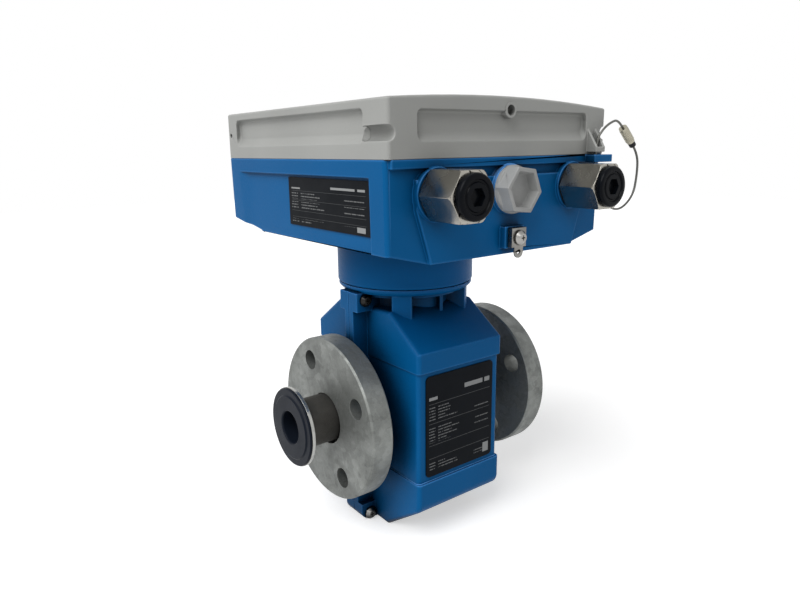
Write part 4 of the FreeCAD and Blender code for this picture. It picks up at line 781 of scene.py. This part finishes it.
def drum(radius, front, back, x, z, sides=64, turn=0.0):
    """A drum or, with few sides, a prism along Y between two places, with flats above and below."""
    bpy.ops.object.select_all(action="DESELECT")
    bpy.ops.mesh.primitive_cylinder_add(vertices=sides, radius=radius, depth=back - front,
                                        location=(x, (front + back) / 2, z), rotation=ALONG_Y)
    piece = bpy.context.object
    move_vertices_apart(piece)
    if sides == 6:
        bpy.ops.object.mode_set(mode="EDIT")
        bpy.ops.mesh.select_all(action="SELECT")
        bpy.ops.transform.rotate(value=math.radians(30) + turn, orient_axis="Y", center_override=(x, 0, z))
        bpy.ops.object.mode_set(mode="OBJECT")
    return piece


def select_front(piece):
    """Goes to edit mode with only the faces that close the front of a piece selected."""
    front = min(vertex.co.y for vertex in piece.data.vertices)
    select_where(piece, "FACE", lambda corners: all(abs(co.y - front) < 0.01 * MM for co in corners))


def round_front(piece, width, segments):
    """Bevels the edge round the front of a piece."""
    select_front(piece)
    bpy.ops.mesh.region_to_loop()
    bpy.ops.mesh.bevel(offset=width, segments=segments, affect="EDGES")
    bpy.ops.object.mode_set(mode="OBJECT")


def entry_place(side):
    """The middle of a cable entry across and up."""
    low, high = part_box(side + "_gland_base")
    return (low.x + high.x) / 2, (low.z + high.z) / 2


def copied(piece, name, step_x):
    """A copy with its own mesh, moved along X."""
    twin = bpy.data.objects.new(name, piece.data.copy())
    twin.data.transform(Matrix.Translation((step_x, 0, 0)))
    collection.objects.link(twin)
    return twin


left_x, entry_z = entry_place("left")
right_x, _ = entry_place("right")
print("distance of the outer entries in mm:", round((right_x - left_x) / MM, 1))

# %% [markdown]
# The cable glands are nickel-plated brass hexagons. A turned chamfer at the front takes off the
# six corners. A bevel can't do this, since it would also take off the flats. So the hexagon is
# kept only where it overlaps a drum whose front edge is bevelled, as a lathe would do it.

# %% Gland bodies
GLAND_FLATS = 27.0 * MM
GLAND_CHAMFER = 1.9 * MM
gland_corner = GLAND_FLATS / math.sqrt(3)
gland_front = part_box("left_gland_nut")[0].y
gland_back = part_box("left_gland_seal")[0].y
left_body = drum(gland_corner, gland_front, gland_back, left_x, entry_z, sides=6)
left_body.name = "left_gland_body"
lathe = drum(gland_corner * 1.001, gland_front, gland_back + 1 * MM, left_x, entry_z, sides=96)
round_front(lathe, GLAND_CHAMFER, 2)
combine(left_body, lathe, "INTERSECT")
bevel_edges(left_body, 0.25 * MM, segments=2, angle=25)
right_body = copied(left_body, "right_gland_body", right_x - left_x)
for side, body in (("left", left_body), ("right", right_body)):
    body.data.materials.clear()
    body.data.materials.append(finishes["gland_nickel"])
    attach(body, "transmitter")
    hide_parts(side + "_gland_base", side + "_gland_nut")
print("gland body length in mm:", round((gland_back - gland_front) / MM, 1))

# %% [markdown]
# A black plug with a hexagon socket closes each unused gland. Its front is stepped: a bevelled
# rim, a shallow ring set back from it, and the socket in the middle. Stacked drums would leave
# seams, so insets and moves of the one front face make the steps, and a prism cuts the socket.

# %% Gland plugs
STOP_RADIUS = 12.4 * MM
STOP_HEIGHT = 3.4 * MM
STOP_RIM = 1.5 * MM
SOCKET_FLATS = 9.0 * MM
STEPS = ((1.6 * MM, 0.0), (0.5 * MM, 0.9 * MM), (1.0 * MM, 0.0), (0.5 * MM, -0.7 * MM))
left_stop = drum(STOP_RADIUS, gland_front - STOP_HEIGHT, gland_front + 1 * MM, left_x, entry_z)
left_stop.name = "left_gland_plug"
round_front(left_stop, STOP_RIM, 3)
select_front(left_stop)
for inset, depth in STEPS:
    bpy.ops.mesh.inset(thickness=inset, depth=0)
    bpy.ops.transform.translate(value=(0, depth, 0))
bpy.ops.object.mode_set(mode="OBJECT")
socket = drum(SOCKET_FLATS / math.sqrt(3), gland_front - STOP_HEIGHT - 1 * MM, gland_front - 0.2 * MM,
              left_x, entry_z, sides=6)
combine(left_stop, socket, "DIFFERENCE")
bevel_edges(left_stop, 0.12 * MM, segments=2, angle=30)
right_stop = copied(left_stop, "right_gland_plug", right_x - left_x)
for side, stop in (("left", left_stop), ("right", right_stop)):
    take_place_of(stop, side + "_gland_stop")
print("gland plug faces:", len(left_stop.data.polygons))

# %% [markdown]
# The middle entry is closed by a grey plastic plug: a low round collar and a hollow hexagon with
# thin walls. The hexagon is drafted a little, as a moulded piece is, so that it leaves its mould.
# Its front face is made smaller, inset and pushed in, which needs no second piece for the hollow.

# %% Blanking plug
blank_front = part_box("blanking_plug")[0].y
BLANK_FLATS = 26.0 * MM
BLANK_TURN = math.radians(-7)
BLANK_WALL = 2.3 * MM
HOLLOW_DEPTH = 6.2 * MM
COLLAR_RADIUS = 14.2 * MM
COLLAR_HEIGHT = 3.0 * MM
boss_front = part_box("left_gland_seal")[1].y
collar = drum(COLLAR_RADIUS, boss_front - COLLAR_HEIGHT, boss_front + 8 * MM, 0.0, entry_z)
round_front(collar, 1.4 * MM, 3)
blanking = drum(BLANK_FLATS / math.sqrt(3), blank_front, boss_front - 1.0 * MM, 0.0, entry_z, sides=6,
                turn=BLANK_TURN)
blanking.name = "middle_entry_plug"
select_front(blanking)
bpy.ops.transform.resize(value=(0.96, 1, 0.96), center_override=(0, blank_front, entry_z))
bpy.ops.mesh.inset(thickness=BLANK_WALL, depth=0)
bpy.ops.mesh.extrude_region_move(TRANSFORM_OT_translate={"value": (0, HOLLOW_DEPTH, 0)})
bpy.ops.transform.resize(value=(0.9, 1, 0.9), center_override=(0, blank_front, entry_z))
bpy.ops.object.mode_set(mode="OBJECT")
combine(blanking, collar, "UNION")
bevel_edges(blanking, 0.45 * MM, angle=30)
take_place_of(blanking, "blanking_plug")
print("blanking plug faces:", len(blanking.data.polygons))

# %% [markdown]
# The screws have pan heads with a cross recess for a screwdriver. A press forms it with a punch
# whose four blades narrow towards the tip. Two crossed blocks with tapered ends are that punch
# here, and a boolean presses it into each head, which keeps the recess sharp and deep.

# %% Cross recesses
BLADE_THICKNESS, BLADE_LENGTH, BLADE_TIP = 0.2, 0.9, 0.45


def cross_punch(place, toward, width):
    """Two crossed tapered blades whose middle lies at a place, along -Y or +Z."""
    blades = []
    for angle in (0, 90):
        bpy.ops.object.select_all(action="DESELECT")
        bpy.ops.mesh.primitive_cube_add(size=1, location=(0, 0, 0))
        blade = bpy.context.object
        blade.scale = (width, BLADE_THICKNESS * width, BLADE_LENGTH * width)
        blade.rotation_euler = (0, 0, math.radians(angle))
        move_vertices_apart(blade)
        select_where(blade, "VERT", lambda co: co.z < 0)
        bpy.ops.transform.resize(value=(BLADE_TIP, BLADE_TIP, 1), center_override=(0, 0, 0))
        bpy.ops.object.mode_set(mode="OBJECT")
        blades.append(blade)
    combine(blades[0], blades[1], "UNION")
    punch = blades[0]
    if toward == "-Y":
        punch.rotation_euler = (math.radians(90), 0, 0)
    punch.location = place
    move_vertices_apart(punch)
    return punch


def recessed_screws(node, places, toward, width):
    """A copy of a node of screws with a cross recess in each head."""
    screws = merged_copy(node)
    for place in places:
        combine(screws, cross_punch(place, toward, width), "DIFFERENCE")
    bevel_edges(screws, 0.12 * MM, segments=2, angle=30)
    take_place_of(screws, node)
    return screws


CLAMP_HEAD_RADIUS = 4.5 * MM
low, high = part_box("clamp_screws")
clamp_places = [(x, low.y, z) for x in (low.x + CLAMP_HEAD_RADIUS, high.x - CLAMP_HEAD_RADIUS)
                for z in (low.z + CLAMP_HEAD_RADIUS, high.z - CLAMP_HEAD_RADIUS)]
clamp_screws = recessed_screws("clamp_screws", clamp_places, "-Y", 4.6 * MM)
# These screws take the finish whose painted shade darkens them upwards.
clamp_screws.data.materials[0] = finishes["painted_shade_screw_steel"]
low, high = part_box("earth_screw")
recessed_screws("earth_screw", [((low.x + high.x) / 2, low.y, (low.z + high.z) / 2)], "-Y", 4.4 * MM)
LID_HEAD_RADIUS = 4.2 * MM
low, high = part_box("lid_screws")
lid_places = [(x, y, high.z) for x in (low.x + LID_HEAD_RADIUS, high.x - LID_HEAD_RADIUS)
              for y in (low.y + LID_HEAD_RADIUS, high.y - LID_HEAD_RADIUS)]
recessed_screws("lid_screws", lid_places, "+Z", 4.6 * MM)
print("recessed heads:", len(clamp_places) + 1 + len(lid_places))

# %% [markdown]
# The earth clamp is a stamped steel saddle with a tongue whose end is round and has a hole for a
# seal. It could be an outline with thickness, but it is bent on three sides. So flat blocks and
# drums are joined into one plate, and a small bevel gives the edges that the stamp leaves.

# %% Earth clamp
low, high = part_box("earth_clamp")
clamp_x = (low.x + high.x) / 2
PLATE_THICKNESS = 1.2 * MM
PLATE_HEIGHT = 11.5 * MM
TONGUE_RADIUS = 3.6 * MM
TONGUE_HOLE = 1.2 * MM


def flat_block(x, y, z):
    """A block between two places along each axis."""
    bpy.ops.object.select_all(action="DESELECT")
    middle = [(a + b) / 2 for a, b in (x, y, z)]
    bpy.ops.mesh.primitive_cube_add(size=1, location=middle)
    piece = bpy.context.object
    piece.scale = [b - a for a, b in (x, y, z)]
    move_vertices_apart(piece)
    return piece


saddle = flat_block((low.x, high.x), (low.y, low.y + PLATE_THICKNESS), (high.z - PLATE_HEIGHT, high.z))
saddle.name = "earth_saddle"
for x in ((low.x, low.x + PLATE_THICKNESS), (high.x - PLATE_THICKNESS, high.x)):
    combine(saddle, flat_block(x, (low.y, high.y), (high.z - PLATE_HEIGHT, high.z)), "UNION")
combine(saddle, flat_block((low.x, high.x), (low.y, high.y), (high.z - PLATE_THICKNESS, high.z)), "UNION")
tongue_z = low.z + TONGUE_RADIUS
tongue = flat_block((clamp_x - TONGUE_RADIUS, clamp_x + TONGUE_RADIUS),
                    (low.y, low.y + PLATE_THICKNESS), (tongue_z, high.z - PLATE_HEIGHT / 2))
combine(saddle, tongue, "UNION")
combine(saddle, drum(TONGUE_RADIUS, low.y, low.y + PLATE_THICKNESS, clamp_x, tongue_z, 40), "UNION")
combine(saddle, drum(TONGUE_HOLE, low.y - 1 * MM, low.y + 2 * MM, clamp_x, tongue_z, 24), "DIFFERENCE")
bevel_edges(saddle, 0.3 * MM, angle=30)
take_place_of(saddle, "earth_clamp")
print("earth clamp faces:", len(saddle.data.polygons))

# %% [markdown]
# The lid is cast with long recesses in its front and sides. Their corners are soft and a ramp
# runs along their foot. The solid has them sharp, and bevelling those edges in place would meet
# the slots and the port. So each recess is filled with a block and cut again with a block that
# is sloped and rounded in edit mode, which leaves its own round corners in the lid.

# %% Recesses of the lid
LID_FRONT = 100.5 * MM
LID_SIDE = 88.9 * MM
RECESS_DEPTH = 3.5 * MM
RECESS_RAMP = 4.5 * MM
CORNER_ROUND = 3.2 * MM
FLOOR_ROUND = 1.3 * MM
CUTTER_MORE = 3 * MM


def recess_cutter(length, foot, top, lip, place, turn):
    """A block for a recess: made in a wall at Y = 0, then turned about Z and moved to its place."""
    cutter = flat_block((-length / 2, length / 2), (0, RECESS_DEPTH), (foot, top))
    for level, rise in ((foot, RECESS_RAMP), (top, -lip)):
        select_where(cutter, "VERT",
                     lambda co: co.y > RECESS_DEPTH / 2 and abs(co.z - level) < 0.1 * MM)
        bpy.ops.transform.translate(value=(0, 0, rise))
        bpy.ops.object.mode_set(mode="OBJECT")
    select_where(cutter, "EDGE", lambda ends: abs(ends[0].y - ends[1].y) > RECESS_DEPTH / 2)
    bpy.ops.mesh.bevel(offset=CORNER_ROUND, segments=5, affect="EDGES")
    bpy.ops.object.mode_set(mode="OBJECT")
    select_where(cutter, "FACE", lambda corners: all(co.y > 0.99 * RECESS_DEPTH for co in corners))
    bpy.ops.mesh.region_to_loop()
    bpy.ops.mesh.bevel(offset=FLOOR_ROUND, segments=3, affect="EDGES")
    bpy.ops.object.mode_set(mode="OBJECT")
    select_where(cutter, "FACE", lambda corners: all(co.y < 0.01 * MM for co in corners))
    bpy.ops.mesh.extrude_region_move(TRANSFORM_OT_translate={"value": (0, -CUTTER_MORE, 0)})
    bpy.ops.mesh.select_all(action="SELECT")
    bpy.ops.mesh.normals_make_consistent(inside=False)
    bpy.ops.object.mode_set(mode="OBJECT")
    cutter.rotation_euler = (0, 0, math.radians(turn))
    cutter.location = place
    move_vertices_apart(cutter)
    return cutter


lid = merged_copy("housing_lid")
lid.name = "lid_casting"
FRONT_REACH, FRONT_FOOT, FRONT_TOP, FRONT_LIP = 69.3 * MM, 186.5 * MM, 203.2 * MM, 1.0 * MM
SIDE_FRONT, SIDE_REAR = -79.0 * MM, 81.0 * MM
SIDE_FOOT, SIDE_TOP, SIDE_LIP = 185.6 * MM, 204.0 * MM, 1.5 * MM
FRONT_MORE, SIDE_MORE = 1.5 * MM, 0.5 * MM
filled_to = RECESS_DEPTH + 1 * MM
filling = flat_block((-FRONT_REACH - FRONT_MORE, FRONT_REACH + FRONT_MORE),
                     (-LID_FRONT, filled_to - LID_FRONT), (FRONT_FOOT - FRONT_MORE, FRONT_TOP + FRONT_MORE))
combine(lid, filling, "UNION")
cutter = recess_cutter(2 * FRONT_REACH, FRONT_FOOT, FRONT_TOP, FRONT_LIP, (0, -LID_FRONT, 0), 0)
combine(lid, cutter, "DIFFERENCE")
for side in (-1, 1):
    inner, outer = sorted((side * (LID_SIDE - filled_to), side * LID_SIDE))
    filling = flat_block((inner, outer), (SIDE_FRONT - SIDE_MORE, SIDE_REAR + SIDE_MORE),
                         (SIDE_FOOT - SIDE_MORE, SIDE_TOP + SIDE_MORE))
    combine(lid, filling, "UNION")
    middle = (side * LID_SIDE, (SIDE_FRONT + SIDE_REAR) / 2, 0)
    cutter = recess_cutter(SIDE_REAR - SIDE_FRONT, SIDE_FOOT, SIDE_TOP, SIDE_LIP, middle, 90 * side)
    combine(lid, cutter, "DIFFERENCE")
print("lid faces after its recesses:", len(lid.data.polygons))

# %% [markdown]
# A small threaded port stands in the front recess as a short tube. The slots below the lid
# screws run round the front corners and end in the side recesses, where a ball end, as a ball
# cutter leaves it, rounds them off. The edges there and at the port are too short to be bevelled
# after the boolean, so the port gets its round before it and both places are left plain.

# %% Port and slots of the lid
PORT_X, PORT_LEVEL, PORT_OUTER, PORT_INNER = -0.4 * MM, 203.6 * MM, 4.6 * MM, 3.1 * MM
port = drum(PORT_OUTER, -LID_FRONT - 0.4 * MM, -LID_FRONT + RECESS_DEPTH + 0.5 * MM, PORT_X, PORT_LEVEL, 48)
round_front(port, 0.5 * MM, 3)
combine(lid, port, "UNION")
combine(lid, drum(PORT_INNER, -LID_FRONT - 1 * MM, -LID_FRONT + 4 * MM, PORT_X, PORT_LEVEL, 32), "DIFFERENCE")
SLOT_RADIUS, SLOT_X, SLOT_Y, SLOT_LEVEL = 4.0 * MM * 1.01, 87.8 * MM, -78.0 * MM, 191.0 * MM
slot_ends = [Vector((side * SLOT_X, SLOT_Y, SLOT_LEVEL)) for side in (-1, 1)]
for end in slot_ends:
    bpy.ops.object.select_all(action="DESELECT")
    bpy.ops.mesh.primitive_uv_sphere_add(segments=32, ring_count=16, radius=SLOT_RADIUS, location=end)
    combine(lid, bpy.context.object, "DIFFERENCE")
select_only(lid)
bpy.ops.object.mode_set(mode="EDIT")
bpy.ops.mesh.select_all(action="SELECT")
bpy.ops.mesh.remove_doubles(threshold=0.000005)
bpy.ops.mesh.dissolve_limited(angle_limit=math.radians(0.5))
bpy.ops.object.mode_set(mode="OBJECT")
port_middle = Vector((PORT_X, -LID_FRONT + RECESS_DEPTH / 2, PORT_LEVEL))
bevel_edges(lid, 0.5 * MM, plain=[*slot_ends, port_middle])
take_place_of(lid, "housing_lid")
print("lid faces:", len(lid.data.polygons))

# %% [markdown]
# The clasp of the wire is a knurled barrel with a nut. A knurl could be a bump in the finish,
# but its outline shows at this size. A drum is divided along its length, and each small side
# face is inset and raised into a pad, which leaves a grid of grooves between the pads.

# %% Knurled clasp
clasp_top, clasp_foot = Vector(WIRE_ROUTE[-1]), Vector(WIRE_ROUTE[0])
clasp_axis = (clasp_foot - clasp_top).normalized()
BARREL_RADIUS, NUT_RADIUS, NUT_LENGTH = 2.75 * MM, 2.3 * MM, 4.0 * MM
KNURLED_SHARE = 0.72
barrel_end = clasp_foot - clasp_axis * NUT_LENGTH


def clasp_drum(name, start, end, radius, sides):
    """An upright drum at the origin, as long as the way between two points."""
    bpy.ops.object.select_all(action="DESELECT")
    bpy.ops.mesh.primitive_cylinder_add(vertices=sides, radius=radius, depth=(end - start).length)
    piece = bpy.context.object
    piece.name = name
    return piece


def lay_on_axis(piece, start, end):
    """Turns an upright piece along the way between two points and moves it there."""
    turn = (end - start).to_track_quat("Z", "Y").to_matrix().to_4x4()
    piece.matrix_world = Matrix.Translation((start + end) / 2) @ turn
    move_vertices_apart(piece)


barrel = clasp_drum("clasp_sleeve", clasp_top, barrel_end, BARREL_RADIUS, 20)
select_where(barrel, "EDGE", lambda ends: abs(ends[0].z - ends[1].z) > 1 * MM)
bpy.ops.mesh.subdivide(number_cuts=9)
bpy.ops.object.mode_set(mode="OBJECT")
knurled_to = KNURLED_SHARE * (barrel_end - clasp_top).length / 2


def is_pad(corners):
    """Tells whether a face stands on the side of the upright barrel and not near its ends."""
    levels = [co.z for co in corners]
    return max(levels) - min(levels) > 0.1 * MM and abs(sum(levels) / len(levels)) < knurled_to


select_where(barrel, "FACE", is_pad)
bpy.ops.mesh.inset(thickness=0.13 * MM, depth=0.22 * MM, use_individual=True)
bpy.ops.object.mode_set(mode="OBJECT")
lay_on_axis(barrel, clasp_top, barrel_end)
bevel_edges(barrel, 0.05 * MM, segments=1, angle=40)
take_place_of(barrel, "clasp_barrel")
print("barrel faces:", len(barrel.data.polygons))

# %% [markdown]
# A plain dark nut closes the barrel's foot. Both hang on the wire.

# %% Nut of the clasp
nut = clasp_drum("clasp_cap", barrel_end, clasp_foot, NUT_RADIUS, 24)
lay_on_axis(nut, barrel_end, clasp_foot)
bevel_edges(nut, 0.35 * MM, angle=40)
take_place_of(nut, "clasp_nut")
print("clasp length in mm:", round((clasp_foot - clasp_top).length / MM, 1))
